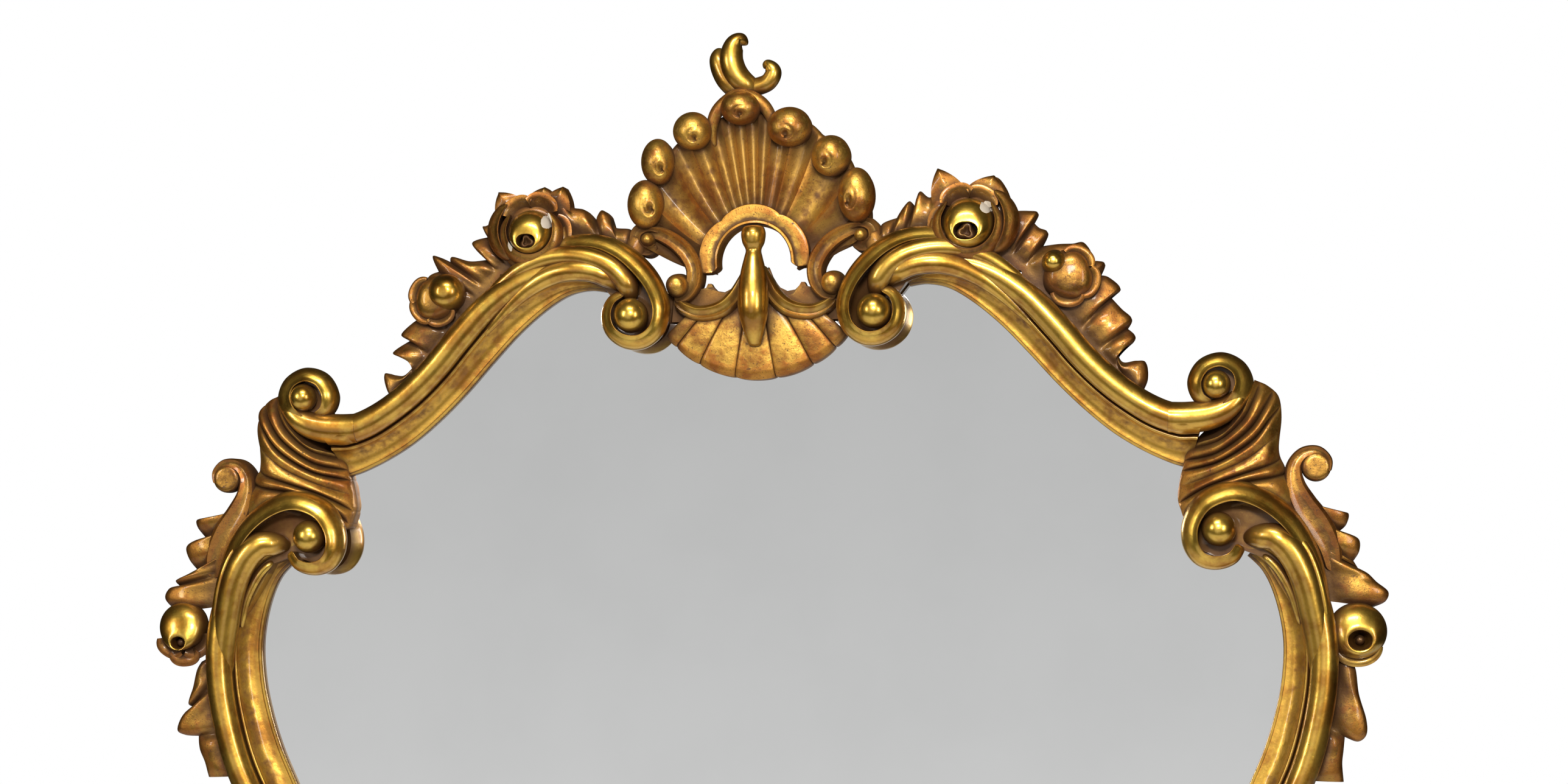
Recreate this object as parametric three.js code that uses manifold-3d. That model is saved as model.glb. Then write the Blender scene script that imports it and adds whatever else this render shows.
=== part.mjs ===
// A carved and gilded pier mirror: a tall cartouche frame of moulded rails that end in scrolls, a pierced
// shell crest, roses, buds and leaves, with the silvered glass in a rebate and a boarded back.
// Millimetres, +Z up. The wall is the plane y = 0 and the carving faces -Y. Heights of the carving are
// measured forward from its flat back, so a height h lies at y = -(carvingBack + h).
import * as THREE from "three";
import { mergeVertices } from "three/addons/utils/BufferGeometryUtils.js";
import Module from "manifold-3d";

const wasm = await Module();
wasm.setup();

// ---------- driving dimensions ----------
const boardThickness = 7.7;
const seatGap = 0.3; // what is left between two pieces that touch
const glassThickness = 5;
const glassOverlap = 6.5; // how far the glass goes behind the sight edge
const glassClearance = 1.5; // play between the edge of the glass and the wall of the rebate
const boardOverlap = 20; // how far the backing board goes past the sight edge
const lipHeight = 5; // thickness of the frame in front of the glass
const filletHeight = 23; // the thin fillet between the hollow and the roll
const rollHeight = 25; // height of the centre of the round roll
const screwInset = 14; // from the sight edge to a backing screw
const screwRadius = 1.75;
const screwLength = 22;
const screwHeadRadius = 3.6;
const strapWidth = 14;
const strapThickness = 1.2;
const strapLength = 40;
const ringWire = 1.6; // radius of the wire of a hanging ring
const ringPlay = 0.4; // between the wire and the eye of its strap
const eyeWall = 1.2;
const hangerPlace = [353, 99]; // the hanging ring's axis on the back of a shoulder
const lowerScale = 0.8; // the foot of the frame repeats the head upside down at this scale
const lowerLevel = -860; // height that the head's zero level takes in the foot
const waistJoint = 0.42; // where along a side stile its two lengths meet
const leafRoot = 13; // height of a leaf where it leaves its stalk
const leafCrown = 3; // how far it swells above its edge

const carvingBack = boardThickness + seatGap;
const lipBack = glassThickness + seatGap; // the shoulder of the rebate that the glass bears on
const lipFront = lipBack + lipHeight;

// ---------- materials ----------
const gilt = new THREE.MeshStandardMaterial({ color: 0xb58a2e, roughness: 0.3, metalness: 1 });
const mattGilt = new THREE.MeshStandardMaterial({ color: 0xa8742a, roughness: 0.5, metalness: 1 });
const silvering = new THREE.MeshStandardMaterial({ color: 0xdfe2e2, roughness: 0.03, metalness: 1 });
const pine = new THREE.MeshStandardMaterial({ color: 0x9a7448, roughness: 0.8, metalness: 0 });
const steel = new THREE.MeshStandardMaterial({ color: 0x8d8b86, roughness: 0.4, metalness: 1 });

// ---------- curves ----------

// A row of numbers on the smooth curve through the given rows, at 0..1 along them.
function along(rows, t) {
  const place = Math.min(Math.max(t, 0), 1) * (rows.length - 1);
  const i = Math.min(Math.floor(place), rows.length - 2);
  const u = place - i;
  const before = rows[Math.max(i - 1, 0)];
  const after = rows[Math.min(i + 2, rows.length - 1)];
  return rows[i].map((from, k) => {
    const to = rows[i + 1][k];
    const leave = (to - before[k]) / 2;
    const arrive = (after[k] - from) / 2;
    const cubic = 2 * from - 2 * to + leave + arrive;
    const square = 3 * to - 3 * from - 2 * leave - arrive;
    return ((cubic * u + square) * u + leave) * u + from;
  });
}

// The unit vector to the left of the direction in which the curve runs.
function normalAt(rows, t) {
  const step = 0.002;
  const a = along(rows, t - step);
  const b = along(rows, t + step);
  const length = Math.hypot(b[0] - a[0], b[1] - a[1]);
  return [-(b[1] - a[1]) / length, (b[0] - a[0]) / length];
}

const steps = (count, from = 0, to = 1) =>
  Array.from({ length: count + 1 }, (_, i) => from + ((to - from) * i) / count);
const polar = ([x, z], radius, degrees) => {
  const turn = THREE.MathUtils.degToRad(degrees);
  return [x + radius * Math.cos(turn), z + radius * Math.sin(turn)];
};

// ---------- solids ----------

function solidOf(geometry) {
  geometry.deleteAttribute("normal");
  geometry.deleteAttribute("uv");
  const merged = mergeVertices(geometry, 1e-3);
  const position = merged.getAttribute("position");
  const index = Uint32Array.from(merged.index.array);
  const corner = (i) => new THREE.Vector3().fromBufferAttribute(position, i);
  let volume = 0;
  for (let i = 0; i < index.length; i += 3)
    volume += corner(index[i]).dot(corner(index[i + 1]).cross(corner(index[i + 2])));
  if (volume < 0)
    for (let i = 0; i < index.length; i += 3) [index[i + 1], index[i + 2]] = [index[i + 2], index[i + 1]];
  const vertProperties = Float32Array.from(position.array);
  return new wasm.Manifold(new wasm.Mesh({ numProp: 3, vertProperties, triVerts: index }));
}

function geometryOf(solid) {
  const mesh = solid.getMesh();
  return new THREE.BufferGeometry()
    .setAttribute("position", new THREE.BufferAttribute(Float32Array.from(mesh.vertProperties), 3))
    .setIndex(new THREE.BufferAttribute(Uint32Array.from(mesh.triVerts), 1));
}

const join = (solids) => solids.reduce((all, one) => all.add(one));

// Where a shape goes: in the head as it stands, or in the foot upside down and smaller. side is 1 or -1.
const head = (side) => ({ k: 1, at: ([x, z]) => [side * x, z] });
const foot = (side) => ({
  k: lowerScale,
  at: ([x, z]) => [side * lowerScale * x, lowerLevel - lowerScale * z],
});
const toFoot = ([x, z, ...sizes]) => [...foot(1).at([x, z]), ...sizes.map((size) => size * lowerScale)];

// Skins a row of closed loops of [x, z, height] points and caps both ends.
function skin(loops, spot) {
  const count = loops[0].length;
  const vertices = loops.flat().flatMap(([x, z, h]) => {
    const [px, pz] = spot.at([x, z]);
    return [px, -(carvingBack + h), pz];
  });
  const faces = [];
  for (let s = 0; s + 1 < loops.length; s++)
    for (let i = 0; i < count; i++) {
      const a = s * count + i;
      const b = s * count + ((i + 1) % count);
      faces.push(a, b, b + count, a, b + count, a + count);
    }
  // A cap is laid out in plan, or upright along its longest reach where it covers more that way.
  const cap = (loop, first, turned) => {
    const reach = ([x, z]) => [x - loop[0][0], z - loop[0][1]];
    const further = (best, one) => (Math.hypot(...one) > Math.hypot(...best) ? one : best);
    const far = loop.map(reach).reduce(further);
    const length = Math.hypot(...far);
    const plan = loop.map(([x, z]) => new THREE.Vector2(x, z));
    const upright = loop.map((p) => {
      const [x, z] = reach(p);
      return new THREE.Vector2((x * far[0] + z * far[1]) / length, p[2]);
    });
    const area = THREE.ShapeUtils.area;
    const outline = Math.abs(area(plan)) > Math.abs(area(upright)) ? plan : upright;
    const triangles = THREE.ShapeUtils.triangulateShape(outline, []);
    const covered = triangles.reduce((sum, t) => sum + area(t.map((i) => outline[i])), 0);
    const same = covered * area(outline) > 0;
    for (const [i, j, k] of triangles)
      faces.push(first + i, ...(same !== turned ? [first + j, first + k] : [first + k, first + j]));
  };
  cap(loops[0], 0, true);
  cap(loops[loops.length - 1], (loops.length - 1) * count, false);
  const position = new THREE.Float32BufferAttribute(vertices, 3);
  return solidOf(new THREE.BufferGeometry().setAttribute("position", position).setIndex(faces));
}

// Sections as [across, height] pairs, each set square across a path at its origin.
const loft = (stations, spot) =>
  skin(stations.map(({ origin, across, section }) =>
    section.map(([a, h]) => [origin[0] + across[0] * a, origin[1] + across[1] * a, h])), spot);

// A carved surface given as rows of [x, z, height] points, closed by a flat back at a base height.
const relief = (rows, base, spot) =>
  skin(rows.map((row) => {
    const [first, last] = [row[0], row[row.length - 1]];
    return [[first[0], first[1], base], ...row, [last[0], last[1], base]];
  }), spot);

// A flat board cut to an outline, between two heights.
function board(outline, from, to, spot) {
  const shape = new THREE.Shape(outline.map((point) => new THREE.Vector2(...spot.at(point))));
  const form = { depth: to - from, bevelEnabled: false, curveSegments: 1 };
  const geometry = new THREE.ExtrudeGeometry(shape, form);
  return solidOf(geometry.rotateX(Math.PI / 2).translate(0, -carvingBack - from, 0));
}

// A roll through rows of [x, z, height, radius], round on top, flat underneath and blunt at both ends.
function roll(rows, count, spot) {
  const stations = steps(count).map((t) => {
    const [x, z, height, radius] = along(rows, t);
    const section = [-50, 25, 90, 155, 230].map((degrees) => {
      const [a, h] = polar([0, 0], radius, degrees);
      return [a, height + h * spot.k];
    });
    return { origin: [x, z], across: normalAt(rows, t), section };
  });
  return loft(stations, spot);
}

// A turned boss whose axis points at the viewer, from a profile of [radius, height] pairs.
function boss(place, profile, spot, around = 7) {
  const [x, z] = spot.at(place);
  const points = profile.map(([radius, height]) => new THREE.Vector2(radius * spot.k, height));
  const turned = new THREE.LatheGeometry(points, around);
  return solidOf(turned.scale(1, -1, 1).translate(x, -carvingBack, z));
}

// A ragged border of leaves: from a stalk, a row of [x, z], out to tips and hollows, a row of [x, z, height].
function leafBorder(stalk, edge, base, spot) {
  const rows = edge.map(([x, z, h], i) => {
    const [sx, sz] = along(stalk, i / (edge.length - 1));
    return [[sx, sz, leafRoot], [sx * 0.45 + x * 0.55, sz * 0.45 + z * 0.55, h + leafCrown], [x, z, h - 2]];
  });
  return relief(rows, base, spot);
}

// A flower of open petals, from rings of [radius, height, how far the petals wave in and out].
function flower(place, rings, petals, spot) {
  const around = petals * 3;
  const loops = rings.map(([radius, h, wave]) =>
    steps(around - 1, 0, 360 - 360 / around).map((degrees) => {
      const swing = Math.cos(THREE.MathUtils.degToRad(degrees * petals));
      return [...polar(place, radius * (1 + wave * swing), degrees), h + radius * wave * swing * 0.6];
    }));
  return skin(loops, spot);
}

// The same solid with every face moved out by a gap, to cut what is seated against it. A corner moves
// further than its faces, up to a limit.
function swell(solid, gap) {
  const mesh = solid.getMesh();
  const from = mesh.vertProperties;
  const corner = (i) => new THREE.Vector3(from[3 * i], from[3 * i + 1], from[3 * i + 2]);
  const around = Array.from({ length: from.length / 3 }, () => []);
  for (let f = 0; f < mesh.triVerts.length; f += 3) {
    const at = [...mesh.triVerts.subarray(f, f + 3)];
    const points = at.map(corner);
    const edges = points.map((point, i) => points[(i + 1) % 3].clone().sub(point));
    const normal = edges[0].clone().cross(edges[1]).normalize();
    at.forEach((v, i) => around[v].push({ normal, weight: Math.PI - edges[i].angleTo(edges[(i + 2) % 3]) }));
  }
  const sharpest = 0.6;
  const grown = Float32Array.from(from);
  around.forEach((faces, v) => {
    const total = faces.reduce((sum, { weight }) => sum + weight, 0);
    const way = new THREE.Vector3();
    for (const { normal, weight } of faces) way.addScaledVector(normal, weight / total);
    const share = Math.max(way.length(), sharpest);
    way.normalize().multiplyScalar(gap / share);
    grown[3 * v] += way.x;
    grown[3 * v + 1] += way.y;
    grown[3 * v + 2] += way.z;
  });
  return new wasm.Manifold(new wasm.Mesh({ numProp: 3, vertProperties: grown, triVerts: mesh.triVerts }));
}

// ---------- the assembly ----------
const mirror = new THREE.Group();
const placed = []; // what is already in place, each with its box and, once needed, its grown copy

const nearFit = 0.95; // a little under the gap, so that faces drawn the gap apart aren't cut again

const near = (a, b) => [0, 1, 2].every((k) => a.min[k] < b.max[k] + 1 && b.min[k] < a.max[k] + 1);

// Seats a piece against all that is already in place and adds it under its name.
function add(name, solid, material) {
  const box = solid.boundingBox();
  let seated = solid;
  for (const other of placed)
    if (near(box, other.box)) {
      other.grown ??= swell(other.solid, seatGap * nearFit);
      seated = seated.subtract(other.grown).subtract(other.solid);
    }
  const whole = seated.decompose().sort((a, b) => b.volume() - a.volume())[0];
  placed.push({ solid: whole, box: whole.boundingBox() });
  const mesh = new THREE.Mesh(geometryOf(whole), material);
  mesh.name = name;
  mirror.add(mesh);
}

// ---------- moulded rails ----------
// Rows along the sight edge: x, z, width from the sight edge to the middle of the roll, radius of the roll.
const headRail = [
  [113, 186, 11, 6], [126, 187.5, 14, 7.5], [142, 184, 19, 8.5], [160, 173, 25, 9], [180, 156, 28, 9.5],
  [200, 135, 28, 10], [220, 113, 27, 10], [240, 93.5, 27, 10], [260, 77, 28, 10], [280, 64.5, 29, 10.5],
  [300, 55, 32, 11], [314, 50.5, 36, 11],
];
const stileHead = [
  [352, -10, 16, 7.5], [366, -24, 22, 9], [375, -45, 26, 10], [380, -72, 28, 10], [379, -100, 29, 10],
  [374, -126, 30, 10], [366, -152, 31, 10], [355, -178, 31, 10],
];
const stileWaist = [
  [338, -216, 31, 10], [316, -266, 31, 10], [294, -322, 31, 10], [275, -384, 30, 10], [262, -448, 29, 9.5],
  [256, -512, 28, 9.5], [256, -572, 27, 9], [262, -630, 26, 9], [272, -680, 25, 8.5],
];
const stile = [...stileHead, ...stileWaist, ...stileHead.map(toFoot).reverse()];
const sightCrown = [[0, 161], [50, 162], [85, 170]]; // the sight edge behind the crest, from the middle out
const sightShoulder = [[334, 22]]; // and behind the shoulder block

// Across a rail: the rebate and lip at the glass, a matt hollow, a fillet, a quirk, the roll, the outer wall.
function railSection(width, radius, k) {
  const band = width - radius;
  const rebate = (glassOverlap + glassClearance) / k;
  const arc = [190, 125, 60, -10].map((degrees) => {
    const [a, h] = polar([0, 0], radius, degrees);
    return [width + a, rollHeight + h * k];
  });
  return [
    [0, lipBack],
    [0, lipFront],
    [band * 0.45, lipFront + 3],
    [band * 0.8, filletHeight],
    [band * 0.92, filletHeight - 2],
    ...arc,
    [width + radius * 0.9, 0],
    [rebate, 0],
    [rebate, lipBack],
  ];
}

function rail(rows, from, to, count, spot) {
  const stations = steps(count, from, to).map((t) => {
    const [x, z, width, radius] = along(rows, t);
    return { origin: [x, z], across: normalAt(rows, t), section: railSection(width, radius, spot.k) };
  });
  return loft(stations, spot);
}

// The outline of the whole sight edge moved outward, for the glass and the board behind it.
function sightOutline(distance) {
  const sample = (rows, count) => steps(count).map((t) => along(rows, t).slice(0, 2));
  const upper = [...sightCrown, ...sample(headRail, 7), ...sightShoulder];
  const side = sample(stile, 14);
  const half = [...upper, ...side, ...upper.map(toFoot).reverse()];
  const moved = half.map(([x, z], i) => {
    const before = half[i - 1] ?? [-half[1][0], half[1][1]];
    const after = half[i + 1] ?? [-half[i - 1][0], half[i - 1][1]];
    const run = [after[0] - before[0], after[1] - before[1]];
    const length = Math.hypot(...run);
    return [x - (run[1] / length) * distance, z + (run[0] / length) * distance];
  });
  return [...moved, ...moved.slice(1, -1).reverse().map(([x, z]) => [-x, z])];
}

// ---------- rear fixings ----------
const flat = { k: 1, at: (point) => point };
const sides = { left: -1, right: 1 };

function screw(place, length, headLevel) {
  const point = 2;
  const profile = [
    [0, headLevel],
    [screwHeadRadius, headLevel],
    [screwRadius, headLevel + screwHeadRadius - screwRadius],
    [screwRadius, headLevel + length - point],
    [0, headLevel + length],
  ];
  return boss(place, profile, flat, 6);
}

const screwPlaces = { head: [headRail, 0.42], side: [stile, 0.2], foot: [stile, 0.72] };
for (const [hand, side] of Object.entries(sides))
  for (const [place, [rows, t]] of Object.entries(screwPlaces)) {
    const [x, z] = along(rows, t);
    const [ax, az] = normalAt(rows, t);
    const spot = head(side).at([x + ax * screwInset, z + az * screwInset]);
    add(`backing_screw_${place}_${hand}`, screw(spot, screwLength, 0.5 - carvingBack), steel);
  }

// The wire of a hanging ring: a bar through the eye, square shoulders and a round bow below.
const barHalf = strapWidth / 2 + ringPlay + ringWire + 1.6;
const bow = 17;
const eyeRadius = ringWire + ringPlay + eyeWall;
const eyeLevel = -seatGap - eyeRadius; // behind the carving's back
const ringPath = [
  [-barHalf + 1.6, 0], [barHalf - 1.6, 0], [barHalf - 0.4, -0.5], [barHalf, -2], [barHalf, -6],
  ...steps(6, -15, -165).map((degrees) => polar([0, -bow + barHalf - 2.5], barHalf, degrees)),
  [-barHalf, -6], [-barHalf, -2], [-barHalf + 0.4, -0.5],
];

function hangingRing([x, z]) {
  const count = ringPath.length;
  const around = 6;
  const vertices = [];
  const faces = [];
  for (let i = 0; i < count; i++) {
    const before = ringPath[(i + count - 1) % count];
    const after = ringPath[(i + 1) % count];
    const run = [after[0] - before[0], after[1] - before[1]];
    const length = Math.hypot(...run);
    for (let k = 0; k < around; k++) {
      const turn = (2 * Math.PI * (k + 0.5)) / around;
      const a = ringWire * Math.cos(turn);
      const px = x + ringPath[i][0] - (run[1] / length) * a;
      const pz = z + ringPath[i][1] + (run[0] / length) * a;
      vertices.push(px, -(carvingBack + eyeLevel + ringWire * Math.sin(turn)), pz);
      const j = ((i + 1) % count) * around;
      const next = (k + 1) % around;
      faces.push(i * around + k, i * around + next, j + next, i * around + k, j + next, j + k);
    }
  }
  const position = new THREE.Float32BufferAttribute(vertices, 3);
  return solidOf(new THREE.BufferGeometry().setAttribute("position", position).setIndex(faces));
}

// The strap: a flat plate with its upper end rolled into an eye round the bar of the ring.
function hangerStrap([x, z]) {
  const y = -carvingBack - eyeLevel;
  const back = -carvingBack + seatGap;
  const outline = new THREE.Shape().moveTo(back, z - strapLength);
  outline.lineTo(back + strapThickness, z - strapLength);
  outline.lineTo(back + strapThickness, z - eyeRadius * 0.6);
  outline.absarc(y, z, eyeRadius, -Math.PI * 0.72, Math.PI, false);
  outline.holes.push(new THREE.Path().absarc(y, z, ringWire + ringPlay, 0, 2 * Math.PI, false));
  const form = { depth: strapWidth, bevelEnabled: false, curveSegments: 7 };
  const geometry = new THREE.ExtrudeGeometry(outline, form);
  const standing = new THREE.Matrix4().makeBasis(
    new THREE.Vector3(0, 1, 0),
    new THREE.Vector3(0, 0, 1),
    new THREE.Vector3(1, 0, 0),
  );
  return solidOf(geometry.applyMatrix4(standing.setPosition(x - strapWidth / 2, 0, 0)));
}

for (const [hand, side] of Object.entries(sides)) {
  const place = [side * hangerPlace[0], hangerPlace[1]];
  const hold = [place[0], place[1] - strapLength + strapWidth / 2];
  const headLevel = -seatGap - strapThickness - 0.6;
  add(`hanger_screw_${hand}`, screw(hold, screwLength, headLevel), steel);
  add(`hanger_ring_${hand}`, hangingRing(place), steel);
  add(`hanger_strap_${hand}`, hangerStrap(place), steel);
}

// ---------- glass and back ----------
add("mirror_glass", board(sightOutline(glassOverlap), 0, glassThickness, flat), silvering);
add("backing_board", board(sightOutline(boardOverlap), -carvingBack, -seatGap, flat), pine);

// ---------- scrolls ----------
// Rolls as rows of x, z, height, radius.
const shoulderRoll = [
  [314, 87, 25, 11], [334, 90, 28, 11], [346, 99, 31, 8.5], [351, 111, 33, 6.5], [346, 121, 33, 6],
  [335, 125, 33, 5.5], [324, 121, 33, 5], [320, 111, 33, 4.6], [324, 103, 33, 4],
];
const shoulderFloor = [[316, 78], [340, 84], [352, 100], [350, 116], [336, 124], [322, 118], [318, 104]];
const shoulderEye = [336, 110];
const sideRim = [
  [414, -62, 27, 4], [411, -30, 29, 4.5], [403, -6, 31, 5], [388, 16, 33, 5], [367, 30, 34, 5],
  [344, 33, 34, 5],
  [324, 25, 34, 5], [315, 9, 34, 5], [319, -6, 34, 5], [331, -13, 34, 4.6], [345, -11, 33, 4],
  [353, -3, 32, 3.4],
];
const sideRib = [[352, 2, 27, 5], [372, 4, 30, 7], [388, -16, 30, 7], [400, -58, 27, 6]];
const sideFloor = [
  [320, 16], [344, 32], [367, 30], [388, 15], [402, -7], [411, -60], [392, -58], [370, -14], [330, -12],
];
const sideEye = [337, 6];
const innerRim = [
  [140, 222, 24, 4], [116, 220, 28, 4.5], [95, 211, 31, 4.5], [78, 196, 34, 4.5], [68, 178, 35, 4.5],
  [68, 161, 35, 4.5], [78, 150, 35, 4.5], [92, 147, 35, 4.3], [104, 154, 35, 4], [108, 167, 34, 3.6],
  [103, 178, 33, 3],
];
const innerNeck = [
  [92, 178, 32, 7], [98, 194, 33, 8], [110, 206, 32, 8], [130, 211, 31, 7], [152, 210, 29, 6.5],
  [174, 203, 27, 5.5],
];
const innerFloor = [
  [67, 164], [69, 182], [80, 199], [116, 220], [146, 221], [146, 205], [106, 190], [108, 166], [92, 148],
  [76, 152],
];
const innerEye = [91, 167];

// The button in the middle of a scroll, on a spreading foot.
function eye(place, height, radius, spot) {
  const profile = [
    [0, lipFront],
    [radius * 1.2, lipFront],
    [radius, height + 3],
    [0, height + 9],
  ];
  return boss(place, profile, spot);
}

function topRail(spot) {
  return join([
    rail(headRail, 0.03, 1, 11, spot),
    roll(shoulderRoll, 9, spot),
    board(shoulderFloor, lipFront, 27, spot),
    eye(shoulderEye, 30, 8, spot),
  ]);
}

// The head of a side stile: the moulding dives under a scroll that turns back on itself over the glass.
function sideScroll(spot) {
  return join([
    board(sideFloor, lipFront, 26, spot),
    roll(sideRim, 12, spot),
    roll(sideRib, 3, spot),
    eye(sideEye, 30, 8.5, spot),
  ]);
}

for (const [hand, side] of Object.entries(sides)) {
  add(`top_rail_${hand}`, topRail(head(side)), gilt);
  add(`bottom_rail_${hand}`, topRail(foot(side)), gilt);
  const upper = rail(stile, 0.012, waistJoint, 9, head(side));
  const lower = rail(stile, waistJoint, 0.988, 10, head(side));
  add(`upper_stile_${hand}`, join([upper, sideScroll(head(side))]), gilt);
  add(`lower_stile_${hand}`, join([lower, sideScroll(foot(side))]), gilt);
}

// ---------- shoulder and knee blocks ----------
// The ribs of the acanthus from the sight edge out, as rows of x, z, height.
const blockRibs = [
  [[312, 60, 18], [334, 66, 26], [350, 82, 30], [358, 98, 30], [363, 112, 20]],
  [[311, 50, 19], [334, 56, 28], [356, 72, 32], [367, 90, 31], [375, 103, 20]],
  [[306, 38, 19], [332, 47, 29], [354, 58, 32], [371, 74, 31], [382, 90, 20]],
  [[306, 27, 20], [326, 38, 29], [350, 45, 32], [371, 54, 30], [385, 66, 19]],
  [[312, 14, 22], [330, 28, 28], [352, 36, 31], [374, 38, 29], [390, 42, 17]],
  [[330, 12, 20], [346, 22, 24], [366, 24, 27], [388, 14, 25], [404, 2, 15]],
];
const blockValley = 9; // depth of the grooves between the ribs

function acanthusBlock(spot) {
  const rows = blockRibs[0].map((_, j) => {
    const ribs = blockRibs.map((rib) => rib[j]);
    return ribs.flatMap((rib, i) => {
      const next = ribs[i + 1];
      if (!next) return [rib];
      return [rib, [(rib[0] + next[0]) / 2, (rib[1] + next[1]) / 2, Math.min(rib[2], next[2]) - blockValley]];
    });
  });
  return relief(rows, 0, spot);
}

for (const [hand, side] of Object.entries(sides)) {
  add(`shoulder_block_${hand}`, acanthusBlock(head(side)), mattGilt);
  add(`knee_block_${hand}`, acanthusBlock(foot(side)), mattGilt);
}

// ---------- inner scrolls ----------
function innerScroll(spot) {
  return join([
    board(innerFloor, lipFront, 26, spot),
    roll(innerRim, 10, spot),
    roll(innerNeck, 3, spot),
    eye(innerEye, 31, 10, spot),
  ]);
}

for (const [hand, side] of Object.entries(sides)) {
  add(`inner_scroll_head_${hand}`, innerScroll(head(side)), gilt);
  add(`inner_scroll_foot_${hand}`, innerScroll(foot(side)), gilt);
}

// ---------- crest and base ----------
const shellCentre = [0, 205]; // the flutes of the shell and of the apron spread from here
const shellLobes = [
  { at: [-7, 320], r: 12 }, { at: [27, 303], r: 14 }, { at: [57, 281], r: 13 }, { at: [75, 252], r: 14 },
  { at: [-45, 301], r: 13 }, { at: [-70, 280], r: 12 }, { at: [-80, 251], r: 13 },
];
const apronReach = 85;
const apronSpread = 52; // degrees either side of straight down

// A fan of hollow flutes from an inner radius to a reach given for each angle, with the edge turned up by a
// bulge given for each angle. level is its height at the inner edge, depth the height of the ridges and base
// the height of its flat back.
function fan(inner, reach, bulge, [from, to], count, flutes, { level, depth, base }, spot) {
  const stations = steps(count, from, to).map((degrees, i) => {
    const dip = Math.abs(Math.sin((Math.PI * flutes * i) / count));
    const outer = reach(degrees, dip);
    const knob = bulge(degrees);
    const rise = (share) => level + depth * (1 - dip) * share;
    const section = [
      [inner, base],
      [inner, rise(0.2)],
      [(inner + outer) * 0.6, rise(1)],
      [outer - knob, rise(0.6) + knob * 1.2],
      [outer, rise(0.5) + knob * 0.4 - 3],
      [outer - knob * 0.3, base],
    ];
    return { origin: shellCentre, across: polar([0, 0], 1, degrees), section };
  });
  return loft(stations, spot);
}

// How far each lobe reaches at an angle, and how thick it is there.
const lobesAt = (degrees) =>
  shellLobes.map(({ at: [x, z], r }) => {
    const away = Math.hypot(x - shellCentre[0], z - shellCentre[1]);
    const off = THREE.MathUtils.degToRad(degrees) - Math.atan2(z - shellCentre[1], x - shellCentre[0]);
    const half = Math.sqrt(Math.max(r * r - (away * Math.sin(off)) ** 2, 0));
    return { reach: away * Math.cos(off) + half * 0.8, half };
  }).reduce((best, one) => (one.half > best.half ? one : best));

function shellReach(degrees) {
  const { reach, half } = lobesAt(degrees);
  const edge = 76 + 26 * Math.sin(THREE.MathUtils.degToRad(degrees));
  return half ? Math.max(edge, reach) : edge;
}

function shell(spot) {
  const arch = steps(8, 193, -13).map((degrees) => [...polar([0, 208], 31, degrees), 20, 7.5]);
  const sideScrollRows = (s) => [
    [s * 84, 236, 15, 6], [s * 68, 226, 17, 6], [s * 53, 217, 18, 6], [s * 46, 204, 18, 6],
    [s * 47, 191, 18, 6],
    [s * 56, 184, 18, 6],
  ];
  const linkRows = (s) => [[s * 66, 228, 12, 6], [s * 84, 222, 18, 8], [s * 92, 206, 18, 7]];
  const button = [[0, 0], [9, 0], [9, 23], [5, 28], [0, 29]];
  const form = { level: 12, depth: 7, base: 0 };
  return join([
    fan(30, shellReach, (degrees) => 2 + lobesAt(degrees).half * 0.8, [163, 17], 40, 10, form, spot),
    roll(arch, 8, spot),
    ...[-1, 1].flatMap((s) => [
      roll(sideScrollRows(s), 5, spot),
      roll(linkRows(s), 2, spot),
      boss([s * 58, 190], button, spot, 7),
      board([[s * 30, 205], [s * 44, 214], [s * 44, 196], [s * 34, 192]], 0, 18, spot),
    ]),
  ]);
}

// The fluted apron over the head of the glass, on the cross rail that holds the two halves together.
function apron(spot) {
  const bar = [
    [-104, 178], [-60, 190], [-34, 188], [-14, 180], [14, 180], [34, 188], [60, 190], [104, 178],
    [104, 162], [-104, 162],
  ];
  const reach = (degrees, dip) => apronReach + 3 * dip;
  const form = { level: lipFront + 2, depth: 5, base: lipBack };
  const span = [270 - apronSpread, 270 + apronSpread];
  return join([board(bar, 0, lipFront + 3, spot), fan(26, reach, () => 1.5, span, 24, 8, form, spot)]);
}

function pendant(spot) {
  const drop = [
    [0, 231, 22, 7], [0, 222, 23, 7.5], [0, 214, 24, 5.5], [0, 203, 25, 8.5], [0, 186, 26, 10.5],
    [0, 168, 25, 11],
    [0, 154, 23, 7], [0, 144, 20, 3],
  ];
  const arm = (s) => [
    [s * 4, 186, 20, 5], [s * 13, 180, 21, 6], [s * 24, 171, 21, 6], [s * 40, 167, 20, 5.5],
    [s * 58, 175, 18, 4],
  ];
  return join([roll(drop, 8, spot), roll(arm(1), 4, spot), roll(arm(-1), 4, spot)]);
}

// The broken-ring leaf on the top of the shell.
function finial(spot) {
  const hook = [
    [-8, 328, 12, 9], [-20, 338, 13, 8], [-25, 351, 14, 8], [-22, 364, 15, 7], [-14, 368, 16, 5.5],
    [-5, 364, 16, 3],
  ];
  const curl = [[-12, 330, 12, 8], [0, 333, 13, 7], [11, 337, 14, 5.5], [14, 346, 15, 5], [9, 350, 15, 3]];
  const root = [[0, 0], [12, 0], [12, 10], [0, 18]];
  return join([roll(hook, 7, spot), roll(curl, 5, spot), boss([-5, 326], root, spot)]);
}

const centre = { head: head(1), foot: foot(1) };
add("crest_shell", shell(centre.head), mattGilt);
add("crest_finial", finial(centre.head), gilt);
add("crest_pendant", pendant(centre.head), gilt);
add("crest_apron", apron(centre.head), mattGilt);
add("base_shell", shell(centre.foot), mattGilt);
add("base_pendant", pendant(centre.foot), gilt);
add("base_apron", apron(centre.foot), mattGilt);

// ---------- roses and buds ----------
const rosePlace = [158.5, 228];
const budPlace = [230, 190];

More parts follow.
